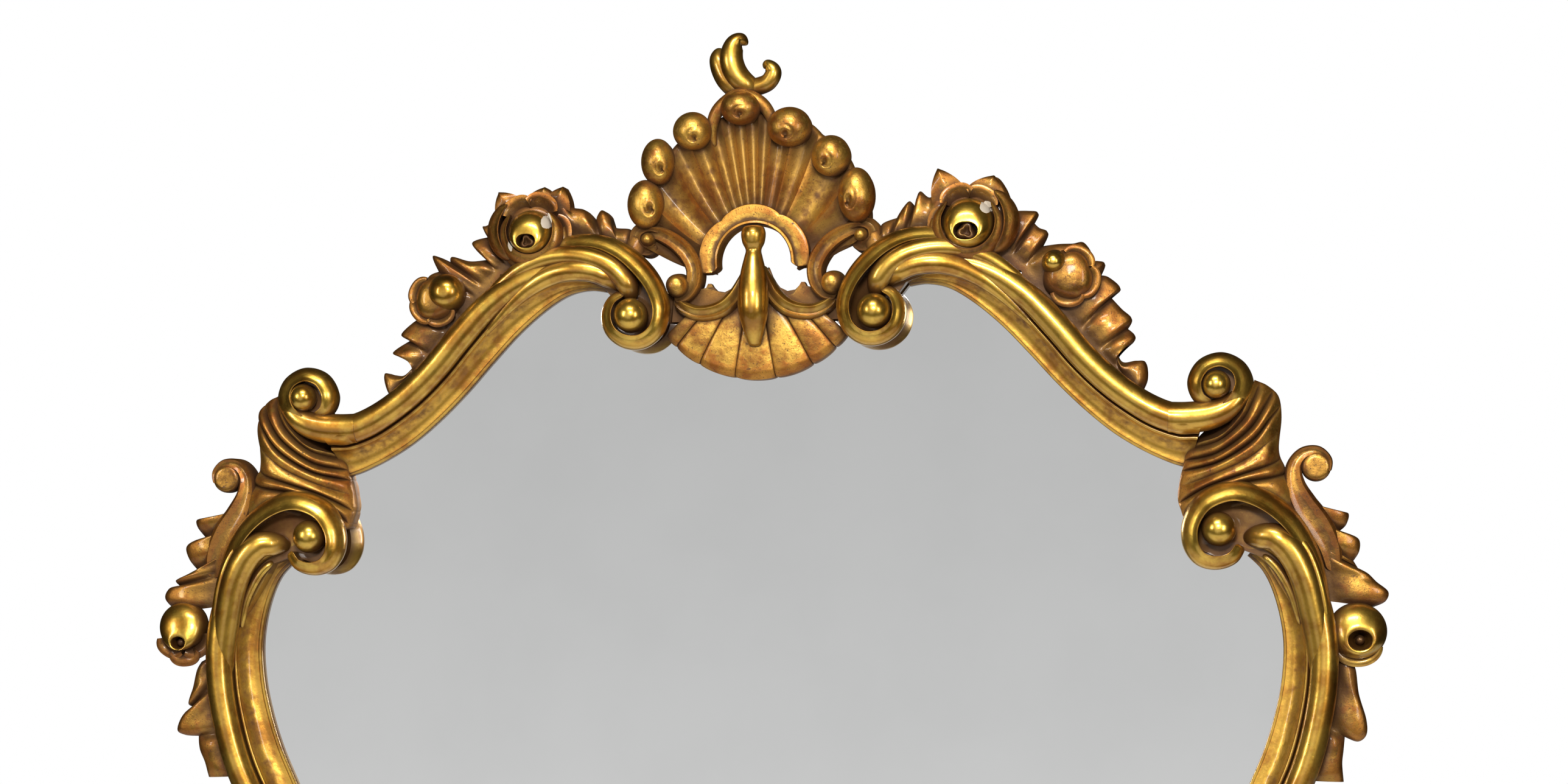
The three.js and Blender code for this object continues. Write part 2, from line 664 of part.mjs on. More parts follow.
function rose(top, spot) {
  const rings = [
    [14, 0, 0], [27, top - 24, 0.14], [21, top - 21, 0.06], [20, top - 8, 0.05], [11, top, 0.04],
    [5, top - 7, 0],
  ];
  return flower(rosePlace, rings, 5, spot);
}

function bud(top, spot) {
  const rings = [[10, 0, 0], [18, top - 20, 0.2], [14, top - 15, 0.05], [13, top - 6, 0], [5, top, 0]];
  return flower(budPlace, rings, 3, spot);
}

for (const [hand, side] of Object.entries(sides)) {
  add(`rose_${hand}`, rose(45, head(side)), gilt);
  add(`lower_rose_${hand}`, rose(41, foot(side)), gilt);
  add(`bud_${hand}`, bud(36, head(side)), gilt);
}

// ---------- borders of leaves ----------
const innerStalk = [[96, 216], [108, 222], [124, 226], [142, 228]];
const innerEdge = {
  left: [
    [90, 226, 12], [93, 232, 15], [105, 234, 10], [112, 246, 17], [119, 240, 11], [136, 250, 16],
    [146, 264, 18],
    [158, 256, 16],
  ],
  right: [
    [90, 226, 12], [94, 232, 15], [105, 238, 10], [113, 247, 17], [118, 243, 11], [123, 254, 17],
    [129, 248, 11],
    [136, 268, 19], [158, 258, 16],
  ],
};
const outerStalk = [
  [172, 216], [190, 207], [208, 190], [222, 172], [240, 150], [256, 132], [268, 118], [274, 106],
];
const outerEdge = {
  left: [
    [176, 256, 18], [190, 260, 19], [195, 242, 11], [205, 236, 17], [205, 229, 11], [214, 224, 17],
    [207, 212, 10],
    [229, 214, 13], [244, 215, 18], [240, 203, 11], [253, 190, 14], [262, 182, 17], [252, 170, 10],
    [269, 157, 17],
    [262, 152, 11], [275, 143, 17], [258, 138, 10], [268, 127, 13], [282, 127, 17], [280, 116, 13],
    [276, 108, 11],
  ],
  right: [
    [164, 258, 16], [176, 263, 18], [184, 255, 17], [190, 239, 11], [206, 237, 17], [205, 230, 11],
    [213, 223, 17],
    [211, 213, 10], [230, 215, 13], [243, 214, 18], [242, 203, 11], [252, 192, 13], [265, 181, 17],
    [259, 175, 11],
    [274, 159, 17], [270, 152, 11], [276, 145, 17], [262, 140, 10], [280, 129, 17], [276, 124, 13],
    [286, 121, 16],
    [280, 106, 11],
  ],
};
// The run of leaves down the waist hangs on the outer wall of the stile.
const waistRun = [0.3, 0.6];
const waistLeaves = 7;

function waistBorder(spot) {
  const rows = steps(waistLeaves * 2, ...waistRun).map((t, i) => {
    const [x, z, width, radius] = along(stile, t);
    const [ax, az] = normalAt(stile, t);
    const tip = i % 2;
    const fullness = Math.sin((Math.PI * i) / (waistLeaves * 2));
    const out = width + radius + 4 + 16 * fullness * (tip ? 1 : 0.25);
    const root = width + radius - 5;
    const h = tip ? 16 : 10;
    const point = (a, height) => [x + ax * a, z + az * a, height];
    return [point(root, leafRoot), point((root + out) / 2, h + leafCrown), point(out, h - 2)];
  });
  return relief(rows, 2, spot);
}

for (const [hand, side] of Object.entries(sides)) {
  add(`inner_leaves_${hand}`, leafBorder(innerStalk, innerEdge[hand], 0, head(side)), mattGilt);
  add(`outer_leaves_${hand}`, leafBorder(outerStalk, outerEdge[hand], 0, head(side)), mattGilt);
  add(`lower_leaves_${hand}`, leafBorder(outerStalk, outerEdge[hand], 0, foot(side)), mattGilt);
  add(`waist_leaves_${hand}`, waistBorder(head(side)), mattGilt);
}

// ---------- side leaf scrolls and blossoms ----------
const blossomPlace = [434, -68];
const scrollPlace = [404, 50];
const scrollStalk = [[386, 58], [383, 42], [389, 24], [399, 8], [407, -8], [412, -26], [415, -46]];
const scrollEdge = [
  [400, 62, 13], [400, 44, 12], [406, 30, 13], [428, 19, 16], [423, 5, 10], [437, -3, 16], [430, -18, 10],
  [446, -26, 13], [455, -37, 16], [446, -48, 11],
];
const pendantStalk = [[420, -46], [416, -75], [415, -100], [411, -125], [404, -150], [397, -174]];
const pendantEdge = [
  [444, -48, 12], [446, -86, 12], [431, -94, 11], [438, -116, 15], [444, -139, 17], [431, -143, 10],
  [426, -158, 14],
  [423, -174, 12],
];
const scrollButton = [[0, 2], [8, 2], [10.5, 8], [10, 15], [5, 18], [0, 18]];
const budButton = [[0, 2], [9, 2], [12, 16], [9, 24], [0, 27]];

const leafScroll = (spot) =>
  join([leafBorder(scrollStalk, scrollEdge, 2, spot), boss(scrollPlace, scrollButton, spot)]);

const blossom = (spot) =>
  join([
    leafBorder(pendantStalk, pendantEdge, 2, spot),
    flower(blossomPlace, [[12, 2, 0], [20, 14, 0.12], [21, 20, 0.12], [9, 15, 0], [4, 12, 0]], 4, spot),
    boss([blossomPlace[0] - 1, blossomPlace[1] + 17], budButton, spot),
  ]);

for (const [hand, side] of Object.entries(sides)) {
  add(`side_blossom_${hand}`, blossom(head(side)), gilt);
  add(`leaf_scroll_${hand}`, leafScroll(head(side)), mattGilt);
  add(`foot_blossom_${hand}`, blossom(foot(side)), gilt);
  add(`foot_leaf_scroll_${hand}`, leafScroll(foot(side)), mattGilt);
}

// ---------- the frame's origin ----------
// The part's origin is the middle of the backing board's rear face, on the wall.
const boardLevels = sightOutline(boardOverlap).map(([, z]) => z);
const middle = (Math.max(...boardLevels) + Math.min(...boardLevels)) / 2;
for (const mesh of mirror.children) mesh.position.z = -middle;

export default mirror;
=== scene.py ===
import math

import bpy
import numpy as np
from mathutils import Matrix, Vector


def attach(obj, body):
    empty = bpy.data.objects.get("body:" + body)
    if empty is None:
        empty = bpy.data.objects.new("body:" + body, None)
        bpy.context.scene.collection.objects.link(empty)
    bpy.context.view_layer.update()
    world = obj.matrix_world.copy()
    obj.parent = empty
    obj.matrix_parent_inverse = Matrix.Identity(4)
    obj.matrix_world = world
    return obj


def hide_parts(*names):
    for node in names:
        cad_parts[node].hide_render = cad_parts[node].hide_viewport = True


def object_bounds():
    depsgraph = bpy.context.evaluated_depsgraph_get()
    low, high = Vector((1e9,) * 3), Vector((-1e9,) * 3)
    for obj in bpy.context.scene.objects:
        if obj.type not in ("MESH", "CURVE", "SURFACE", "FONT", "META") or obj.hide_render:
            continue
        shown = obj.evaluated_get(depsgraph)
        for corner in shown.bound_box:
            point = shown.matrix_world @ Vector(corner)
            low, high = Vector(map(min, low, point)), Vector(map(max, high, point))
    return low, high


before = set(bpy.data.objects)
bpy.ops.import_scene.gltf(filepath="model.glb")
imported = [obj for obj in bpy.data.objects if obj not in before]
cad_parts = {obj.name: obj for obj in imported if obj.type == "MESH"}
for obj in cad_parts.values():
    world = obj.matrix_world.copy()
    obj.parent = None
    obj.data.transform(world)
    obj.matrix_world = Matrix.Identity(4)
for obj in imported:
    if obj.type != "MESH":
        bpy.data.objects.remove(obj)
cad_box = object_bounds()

# ---------- camera ----------
# It stands 2.2 m from the wall at the height of the shoulders, a little to the right, and is turned to face
# the middle of the mirror. The shift frames the upper part.
zero_level = 0.41137  # the drawings' zero height, above the middle of the back board
camera_data = bpy.data.cameras.new("camera")
camera_data.lens = 69.0
camera_data.sensor_width = 36.0
camera_data.shift_x = 0.0149
camera_data.shift_y = 0.0968
camera = bpy.data.objects.new("camera", camera_data)
camera_spot = (0.3366, -2.2044, zero_level)
toward_middle = 8.712  # degrees to the left
upright = 89.96
tilt = -0.444
camera_turn = (
    Matrix.Rotation(math.radians(toward_middle), 4, "Z")
    @ Matrix.Rotation(math.radians(upright), 4, "X")
    @ Matrix.Rotation(math.radians(tilt), 4, "Z")
)
camera.matrix_world = Matrix.Translation(camera_spot) @ camera_turn
bpy.context.scene.collection.objects.link(camera)
bpy.context.scene.camera = camera
bpy.context.scene.view_settings.view_transform = "Standard"


# ---------- room ----------
# A pale floor under the mirror and a white surround. What metal and glass see in front of the mirror is a
# grey room, lighter towards its floor line, as the glass in the photograph shows it.
def wire(tree, kind, inputs=None, **settings):
    """Adds a node, sets its properties, and links or sets its inputs."""
    made = tree.nodes.new("ShaderNode" + kind)
    for key, value in settings.items():
        setattr(made, key, value)
    for key, value in (inputs or {}).items():
        if isinstance(value, bpy.types.NodeSocket):
            tree.links.new(value, made.inputs[key])
        else:
            made.inputs[key].default_value = value
    return made


def figure(tree, operation, *values):
    """The result of a sum on sockets or numbers."""
    made = wire(tree, "Math", dict(enumerate(values)), operation=operation)
    return made.outputs[0]


def ease(tree, value, low, high, start=0.0, end=1.0):
    """A value brought from low..high to start..end along a smooth step."""
    inputs = {"Value": value, "From Min": low, "From Max": high, "To Min": start, "To Max": end}
    return wire(tree, "MapRange", inputs, interpolation_type="SMOOTHSTEP").outputs[0]


def mixed(tree, share, first, second):
    """The first value going over to the second by a share."""
    return wire(tree, "Mix", {0: share, 2: first, 3: second}, data_type="FLOAT").outputs[0]


def tinted(tree, share, first, second):
    """The first colour going over to the second by a share."""
    return wire(tree, "Mix", {0: share, 6: first, 7: second}, data_type="RGBA").outputs[2]


world = bpy.data.worlds.new("room")
bpy.context.scene.world = world
world.use_nodes = True
world.cycles.sampling_method = "NONE"
sky = world.node_tree
sky.nodes.clear()
glance = wire(sky, "TexCoord").outputs["Generated"]
way = wire(sky, "SeparateXYZ", {0: glance}).outputs
ahead = Vector((-0.145, -0.984, -0.105)).normalized()  # the middle of what the camera sees in the glass
toward = wire(sky, "VectorMath", {0: glance, 1: ahead}, operation="DOT_PRODUCT").outputs["Value"]
wall_ahead = ease(sky, toward, 0.92, 0.966)
wall_shade = ease(sky, way["Z"], -0.32, 0.12, 0.77, 0.53)
upper = ease(sky, way["Z"], -0.2, 0.5, 0.025, 0.05)
behind = ease(sky, way["Y"], -0.1, 0.25, 1.0, 0.6)
dim = figure(sky, "MULTIPLY", upper, behind)
seen = mixed(sky, wall_ahead, dim, wall_shade)
path = wire(sky, "LightPath").outputs
mirrored = figure(sky, "MAXIMUM", path["Is Glossy Ray"], path["Is Transmission Ray"])
general_light = 0.35
white_surround = 1.0
plain = mixed(sky, mirrored, general_light, seen)
strength = mixed(sky, path["Is Camera Ray"], plain, white_surround)
neutral = figure(sky, "MAXIMUM", wall_ahead, figure(sky, "SUBTRACT", 1.0, mirrored))
warm_dusk = (1.0, 0.78, 0.56, 1)
room_color = tinted(sky, neutral, warm_dusk, (1, 1, 1, 1))
shine = wire(sky, "Background", {"Color": room_color, "Strength": strength})
wire(sky, "OutputWorld", {"Surface": shine.outputs[0]})


daylight = (1.0, 0.97, 0.93)


def softbox(name, spot, target, width, height, power):
    """A rectangular lamp at a spot, facing a target."""
    data = bpy.data.lights.new(name, "AREA")
    data.shape = "RECTANGLE"
    data.size = width
    data.size_y = height
    data.energy = power
    data.color = daylight
    lamp = bpy.data.objects.new(name, data)
    lamp.location = spot
    lamp.rotation_mode = "QUATERNION"
    lamp.rotation_quaternion = (Vector(target) - Vector(spot)).to_track_quat("-Z", "Y")
    bpy.context.scene.collection.objects.link(lamp)


softbox("window_front", (0.25, -2.25, 1.2), (0.05, 0, 0.4), 0.45, 0.3, 30)
softbox("window_above", (0.0, -1.6, 2.0), (0, 0, 0.5), 0.9, 0.3, 25)
softbox("window_right", (1.5, -2.0, 0.7), (0.1, 0, 0.35), 0.3, 0.9, 16)
softbox("window_left", (-1.6, -1.9, 0.9), (0, 0, 0.4), 0.25, 0.8, 14)

floor_gap = 0.001
floor_level = cad_box[0].z - floor_gap
floor_half = 2.4
floor_front = -1.25  # no further, so that the glass doesn't show it to the camera
floor_mesh = bpy.data.meshes.new("floor")
floor_corners = [(-floor_half, floor_front), (floor_half, floor_front), (floor_half, floor_half),
                 (-floor_half, floor_half)]
floor_mesh.from_pydata([(x, y, floor_level) for x, y in floor_corners], [], [(0, 1, 2, 3)])
floor = bpy.data.objects.new("floor", floor_mesh)
bpy.context.scene.collection.objects.link(floor)
pale = bpy.data.materials.new("pale_floor")
pale.use_nodes = True
pale_surface = pale.node_tree.nodes["Principled BSDF"]
pale_surface.inputs["Base Color"].default_value = (0.80, 0.79, 0.77, 1)
pale_surface.inputs["Roughness"].default_value = 0.7
floor_mesh.materials.append(pale)

# ---------- gilding ----------
# Gold leaf laid over red-brown bole on gesso, then toned with a brown glaze that stays in the hollows. The
# rolls are burnished; the hollows, flutes and leaf faces are left matt and speckled.
gilding = bpy.data.node_groups.new("gilding", "ShaderNodeTree")
gilding_inputs = {
    "Leaf": "NodeSocketColor", "Deep": "NodeSocketColor", "Shade_And_Glaze_Color": "NodeSocketColor",
    "Bole": "NodeSocketColor", "Painted_Shade_And_Glaze": "NodeSocketFloat", "Speckle": "NodeSocketFloat",
    "Wear": "NodeSocketFloat", "Smooth": "NodeSocketFloat",
}
for label, kind in gilding_inputs.items():
    gilding.interface.new_socket(label, in_out="INPUT", socket_type=kind)
for label, kind in (("Color", "NodeSocketColor"), ("Metallic", "NodeSocketFloat"),
                    ("Roughness", "NodeSocketFloat"), ("Height", "NodeSocketFloat")):
    gilding.interface.new_socket(label, in_out="OUTPUT", socket_type=kind)


def noise(tree, place, scale, detail=4.0, roughness=0.55):
    """Clouds of the given number to the metre, as a value about a half."""
    inputs = {"Vector": place, "Scale": scale, "Detail": detail, "Roughness": roughness}
    return wire(tree, "TexNoise", inputs).outputs[0]


bole = (0.45, 0.15, 0.03, 1)
gesso = (0.47, 0.41, 0.33, 1)
given = gilding.nodes.new("NodeGroupInput").outputs
place = wire(gilding, "TexCoord").outputs["Object"]
hollow = wire(gilding, "Attribute", attribute_name="hollow").outputs["Fac"]
clouds = noise(gilding, place, 38.0)
cloudlets = noise(gilding, place, 150.0, 5.0)
grain = noise(gilding, place, 900.0, 3.0, 0.7)
blotches = figure(gilding, "MULTIPLY_ADD", cloudlets, 0.55, clouds)
metal_color = tinted(gilding, ease(gilding, blotches, 0.67, 0.97), given["Leaf"], given["Deep"])
raised = figure(gilding, "MULTIPLY_ADD", hollow, -0.7, cloudlets)
worn = figure(gilding, "MULTIPLY", ease(gilding, raised, 0.66, 0.86), given["Wear"])
bare_color = tinted(gilding, worn, metal_color, given["Bole"])
# Real glazing in the hollows, plus painted shade: ambient occlusion darkens recesses to the glazing colour.
settled_glaze_and_shade = figure(gilding, "MULTIPLY_ADD", hollow, 0.5, figure(gilding, "MULTIPLY_ADD", cloudlets, 0.8, -0.4))
settled_glaze_and_shade = figure(gilding, "MAXIMUM", ease(gilding, settled_glaze_and_shade, 0.0, 0.6), given["Painted_Shade_And_Glaze"])
spots = noise(gilding, place, 330.0, 4.0, 0.65)
fleck_places = figure(gilding, "MAXIMUM", ease(gilding, grain, 0.585, 0.66), ease(gilding, spots, 0.60, 0.70))
flecks = figure(gilding, "MULTIPLY", fleck_places, given["Speckle"])
# Glazing, painted shade and flecks together: how far the glazing colour goes over the leaf.
glaze_shade_and_flecks = figure(gilding, "MINIMUM", figure(gilding, "MAXIMUM", settled_glaze_and_shade, flecks), 0.93)
final_color = tinted(gilding, glaze_shade_and_flecks, bare_color, given["Shade_And_Glaze_Color"])
dull = figure(gilding, "MULTIPLY_ADD", glaze_shade_and_flecks, 0.22, figure(gilding, "MULTIPLY", worn, 0.2))
rough = figure(gilding, "ADD", given["Smooth"], figure(gilding, "MULTIPLY_ADD", cloudlets, 0.12, dull))
metallic = figure(gilding, "MULTIPLY_ADD", glaze_shade_and_flecks, -0.5, 1.0)
relief = figure(gilding, "MULTIPLY_ADD", grain, 0.3, figure(gilding, "MULTIPLY_ADD", clouds, 2.5, cloudlets))
chip = wire(gilding, "Attribute", attribute_name="chip").outputs["Fac"]
chipped = ease(gilding, figure(gilding, "MULTIPLY_ADD", cloudlets, 0.9, chip), 0.92, 0.98)
final_color = tinted(gilding, chipped, final_color, gesso)
rough = figure(gilding, "MULTIPLY_ADD", chipped, 0.4, rough)
metallic = figure(gilding, "MULTIPLY", metallic, figure(gilding, "SUBTRACT", 1.0, chipped))
result = gilding.nodes.new("NodeGroupOutput").inputs
for label, socket in (("Color", final_color), ("Metallic", metallic), ("Roughness", rough),
                      ("Height", relief)):
    gilding.links.new(socket, result[label])


def gilt(name, leaf, deep, glaze_and_shade, speckle, wear, smooth, bumps, lacquer, reach):
    """A gilded finish: two golds, glazing and painted shade where neighbours within reach shelter a place,
    flecks, worn edges, the roughness of clean leaf, the strength of its bumps, the weight of its lacquer."""
    finish = bpy.data.materials.new(name)
    finish.use_nodes = True
    tree = finish.node_tree
    surface = tree.nodes["Principled BSDF"]
    # Painted shade: ambient occlusion within reach darkens recesses and places between parts.
    shade = wire(tree, "AmbientOcclusion", {"Distance": reach}, samples=6).outputs["AO"]
    values = {
        "Leaf": (*leaf, 1), "Deep": (*deep, 1), "Shade_And_Glaze_Color": (*glaze_and_shade, 1), "Bole": bole,
        "Painted_Shade_And_Glaze": ease(tree, shade, 0.96, 0.48, 0.0, 0.95), "Speckle": speckle, "Wear": wear,
        "Smooth": smooth,
    }
    group = tree.nodes.new("ShaderNodeGroup")
    group.node_tree = gilding
    for key, value in values.items():
        if isinstance(value, bpy.types.NodeSocket):
            tree.links.new(value, group.inputs[key])
        else:
            group.inputs[key].default_value = value
    bump = wire(tree, "Bump", {"Height": group.outputs["Height"], "Strength": bumps, "Distance": 0.0004})
    tree.links.new(group.outputs["Color"], surface.inputs["Base Color"])
    tree.links.new(group.outputs["Metallic"], surface.inputs["Metallic"])
    tree.links.new(group.outputs["Roughness"], surface.inputs["Roughness"])
    tree.links.new(bump.outputs["Normal"], surface.inputs["Normal"])
    surface.inputs["Coat Weight"].default_value = lacquer
    surface.inputs["Coat Roughness"].default_value = 0.12
    return finish


burnished = gilt("burnished_gilt", leaf=(0.68, 0.44, 0.07), deep=(0.38, 0.19, 0.022),
                 glaze_and_shade=(0.085, 0.028, 0.005), speckle=0.12, wear=0.2, smooth=0.24, bumps=0.3, lacquer=0.6,
                 reach=0.024)
matt = gilt("matt_gilt", leaf=(0.62, 0.36, 0.068), deep=(0.27, 0.11, 0.024), glaze_and_shade=(0.085, 0.036, 0.011),
            speckle=0.9, wear=0.4, smooth=0.36, bumps=0.8, lacquer=0.15, reach=0.02)
# A paler copy of the matt gold for the moulding's hollow: painted light, so the hollow reads as lit.
lit_cove_gilt = gilt("cove_gilt_painted_light", leaf=(0.70, 0.41, 0.068), deep=(0.42, 0.185, 0.028), glaze_and_shade=(0.085, 0.036, 0.011),
            speckle=0.35, wear=0.3, smooth=0.3, bumps=0.5, lacquer=0.3, reach=0.006)
toned = gilt("toned_gilt", leaf=(0.41, 0.215, 0.041), deep=(0.15, 0.064, 0.017), glaze_and_shade=(0.070, 0.029, 0.010),
             speckle=0.9, wear=0.4, smooth=0.32, bumps=0.7, lacquer=0.25, reach=0.02)


# ---------- moulded rails ----------
# Lengths of pine moulding frame the glass, each carved in one piece with the scroll at its end: a lip over
# the glass, a matt hollow, a thin bead and a big burnished roll. They are glued and blocked at the joints.
carving_back = 8.0  # millimetres from the wall to the flat back of the carving
lip_back = 5.3
lip_front = 10.3
lower_scale = 0.8
lower_level = -860.0
lower_depth = 0.93
sides = {"left": -1, "right": 1}


def head(side):
    """Where a drawing in millimetres, [x, z, height of the carving], goes in the head of the frame."""
    return lambda p: np.stack(
        [side * p[..., 0], -(carving_back + p[..., 2]), p[..., 1] + zero_level * 1000], -1) / 1000


def foot(side):
    """The same drawing upside down and smaller, in the foot."""
    def put(p):
        x = side * lower_scale * p[..., 0]
        z = lower_level - lower_scale * p[..., 1] + zero_level * 1000
        depth = np.where(p[..., 2] > lip_back, lip_back + (p[..., 2] - lip_back) * lower_depth, p[..., 2])
        return np.stack([x, -(carving_back + depth), z], -1) / 1000
    return put


def smooth(rows, places):
    """Rows of numbers read at places from 0 to 1 along the smooth curve through them: between two rows it is
    the cubic that leaves and arrives with half the step from the row before to the row after."""
    rows = np.asarray(rows, float)
    spot = np.clip(places, 0, 1) * (len(rows) - 1)
    i = np.minimum(spot.astype(int), len(rows) - 2)
    u = (spot - i)[:, None]
    here, there = rows[i], rows[i + 1]
    leave = (there - rows[np.maximum(i - 1, 0)]) / 2
    arrive = (rows[np.minimum(i + 2, len(rows) - 1)] - here) / 2
    cubic = 2 * here - 2 * there + leave + arrive
    square = 3 * there - 3 * here - 2 * leave - arrive
    return ((cubic * u + square) * u + leave) * u + here


def beside(path):
    """Unit steps to the left of a path of [x, z] points, square to the way it runs."""
    run = np.gradient(path, axis=0)
    run /= np.linalg.norm(run, axis=1, keepdims=True) + 1e-9
    return np.stack([-run[:, 1], run[:, 0]], -1)


def carried(path, section):
    """A section of [across, height] pairs carried along a path: path + left step * across, at that height."""
    flat = path[:, None, :] + beside(path)[:, None, :] * section[..., :1]
    return np.concatenate([flat, section[..., 1:]], -1)


def closed(loops):
    """Faces of a skin of closed loops: a quad between each two neighbours on each two loops, and the ends."""
    count, around = loops.shape[:2]
    at = np.arange(count * around).reshape(count, around)
    next_at = np.roll(at, -1, axis=1)
    quads = np.stack([at[:-1], next_at[:-1], next_at[1:], at[1:]], -1).reshape(-1, 4)
    return quads, [at[0][::-1], at[-1]]


hollow_rounds = 7


def hollows(points, loops_shape):
    """How far each point lies below its neighbours, in millimetres along the normal: the mean of the points
    around it on the grid, taken several times over, less the point."""
    grid = points.reshape(*loops_shape, 3) * 1000
    mean = grid
    for _ in range(hollow_rounds):
        ends = np.concatenate([mean[:1], mean, mean[-1:]])
        mean = (ends[:-2] + ends[2:] + np.roll(mean, 1, 1) + np.roll(mean, -1, 1)) / 4
    down = np.gradient(grid, axis=0)
    round_ = (np.roll(grid, -1, 1) - np.roll(grid, 1, 1)) / 2
    normal = np.cross(round_, down)
    normal /= np.linalg.norm(normal, axis=-1, keepdims=True) + 1e-9
    return ((mean - grid) * normal).sum(-1).ravel()


sharp_edge = 42  # degrees between two faces from which their edge is drawn sharp


def carve(name, skins, put, finish, body="frame", replaces=(), second=None, chips=()):
    """One piece from skins. A skin is an array of loops of [x, z, height] points, or such an array with the
    first and last place on the loops that has the second finish. It is turned to face outwards by the sign of
    its volume, a sixth of the sum of corner * (next corner x the one after). Chips are rows of x, z and half
    sizes."""
    points, corners, sizes, marks, coats, first = [], [], [], [], [], 0
    for skin in skins:
        loops, (low, high) = skin if isinstance(skin, tuple) else (skin, (0, 0))
        world_points = put(np.asarray(loops, float)).reshape(-1, 3)
        quads, ends = closed(loops)
        a, b, c, d = (world_points[quads[:, k]] for k in range(4))
        volume = (a * np.cross(b, c)).sum() + (a * np.cross(c, d)).sum()
        for end in ends:
            ring = world_points[end]
            volume += (ring[0] * np.cross(ring[1:-1], ring[2:])).sum()
        out = hollows(world_points, loops.shape[:2])
        if volume < 0:
            quads = quads[:, ::-1]
            ends = [end[::-1] for end in ends]
            out = -out
        points.append(world_points)
        marks.append(out)
        corners += [quads.ravel() + first, *[end + first for end in ends]]
        sizes += [np.full(len(quads), 4), *[[len(end)] for end in ends]]
        place = np.arange(len(quads)) % loops.shape[1]
        coats += [(place >= low) & (place < high), np.zeros(len(ends), bool)]
        first += len(world_points)
    points, corners, sizes = np.concatenate(points), np.concatenate(corners), np.concatenate(sizes)
    mesh = bpy.data.meshes.new(name)
    mesh.vertices.add(len(points))
    mesh.vertices.foreach_set("co", points.astype(np.float32).ravel())
    mesh.loops.add(len(corners))
    mesh.loops.foreach_set("vertex_index", corners.astype(np.int32))
    mesh.polygons.add(len(sizes))
    starts = np.concatenate([[0], np.cumsum(sizes)[:-1]])
    mesh.polygons.foreach_set("loop_start", starts.astype(np.int32))
    mesh.polygons.foreach_set("use_smooth", np.ones(len(sizes), bool))
    mesh.polygons.foreach_set("material_index", np.concatenate(coats).astype(np.int32))
    mesh.update(calc_edges=True)
    mesh.validate()
    mesh.set_sharp_from_angle(angle=math.radians(sharp_edge))
    mark = mesh.attributes.new("hollow", "FLOAT", "POINT")
    mark.data.foreach_set("value", np.concatenate(marks).astype(np.float32))
    if chips:
        places = np.asarray(chips, float)
        spots = put(np.column_stack([places[:, :2], np.zeros(len(places))]))
        far = (points[:, None, [0, 2]] - spots[None][..., [0, 2]]) * 1000 / places[None, :, 2:]
        nearest = np.hypot(far[..., 0], far[..., 1]).min(1)
        chip_mark = mesh.attributes.new("chip", "FLOAT", "POINT")
        chip_mark.data.foreach_set("value", np.clip(1.5 - nearest, 0, 1).astype(np.float32))
    for coat in filter(None, (finish, second)):
        mesh.materials.append(coat)
    piece = bpy.data.objects.new(name, mesh)
    bpy.context.scene.collection.objects.link(piece)
    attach(piece, body)
    if replaces:
        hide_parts(*replaces)
    return piece


def arc(centre, radius, start, end, count):
    """Points round a centre from one angle to another, in degrees."""
    turn = np.radians(np.linspace(start, end, count))
    return np.stack([centre[0] + radius * np.cos(turn), centre[1] + radius * np.sin(turn)], -1)


def rail_section(width, radius):
    """The moulding's outline from the glass out: lip, hollow as a quarter of an ellipse, bead, quirk, roll as
    most of a circle, outer wall and rebate."""
    band = width - radius
    deep = 0.97
    s = np.linspace(0.0, 1.0, 11)
    fall = (1 - np.sqrt(1 - (deep * s) ** 2)) / (1 - math.sqrt(1 - deep ** 2))
    parts = [[(0, lip_back), (0, 9.4), (0.5, 10.1), (1.9, 10.3), (2.3, 11.3), (3.4, 11.4)]]
    parts.append(np.stack([3.6 + (band * 0.82 - 3.6) * s, 11.4 + 10.4 * fall], -1))
    parts.append(arc((band * 0.89, 22.0), band * 0.07, 165, 10, 6))
    parts.append([(band * 0.985, 20.3)])
    parts.append(arc((width, 25.0), radius, 196, -20, 22))
    parts.append([(width + radius * 0.93, 14), (width + radius * 0.9, 3), (width + radius * 0.85, 0)])
    parts.append([(8, 0), (8, lip_back)])
    return np.concatenate([np.asarray(part, float) for part in parts])


hollow_places = (4, 17)  # where on the section the matt hollow lies


def rail(rows, start, end, count):
    """The moulding carried along rows of x, z, width to the middle of the roll and radius of the roll."""
    read = smooth(rows, np.linspace(start, end, count))
    return carried(read[:, :2], np.stack([rail_section(*row) for row in read[:, 2:]]))


def stations(count):
    """Places from 0 to 1 that lie closer together at both ends: (1 - cos(pi * t)) / 2, mixed with t."""
    t = np.linspace(0, 1, count)
    return 0.6 * t + 0.4 * (1 - np.cos(np.pi * t)) / 2


def rounded(t, share=0.12):
    """A width at places t that swells from nothing to full as a quarter circle over a share at each end."""
    near = np.clip(np.minimum(t, 1 - t) / share, 0, 1)
    return np.sqrt(1 - (1 - near) ** 2)


def roll(rows, count=60, start=232, end=-52, tip=0.12, ends=(True, True)):
    """A round roll along rows of x, z, height, radius, with rounded ends."""
    t = stations(count)
    read = smooth(rows, t)
    full = rounded(t, tip)
    full = np.where((t < 0.5) & (not ends[0]) | (t > 0.5) & (not ends[1]), 1, full)
    ring = arc((0, 0), 1.0, start, end, 22)
    size = (read[:, 3] * np.maximum(full, 0.04))[:, None]
    level = read[:, 2:3] - (read[:, 3:4] - size) * 0.5
    section = np.stack([ring[:, 0] * size, level + ring[:, 1] * size], -1)
    return carried(read[:, :2], section)


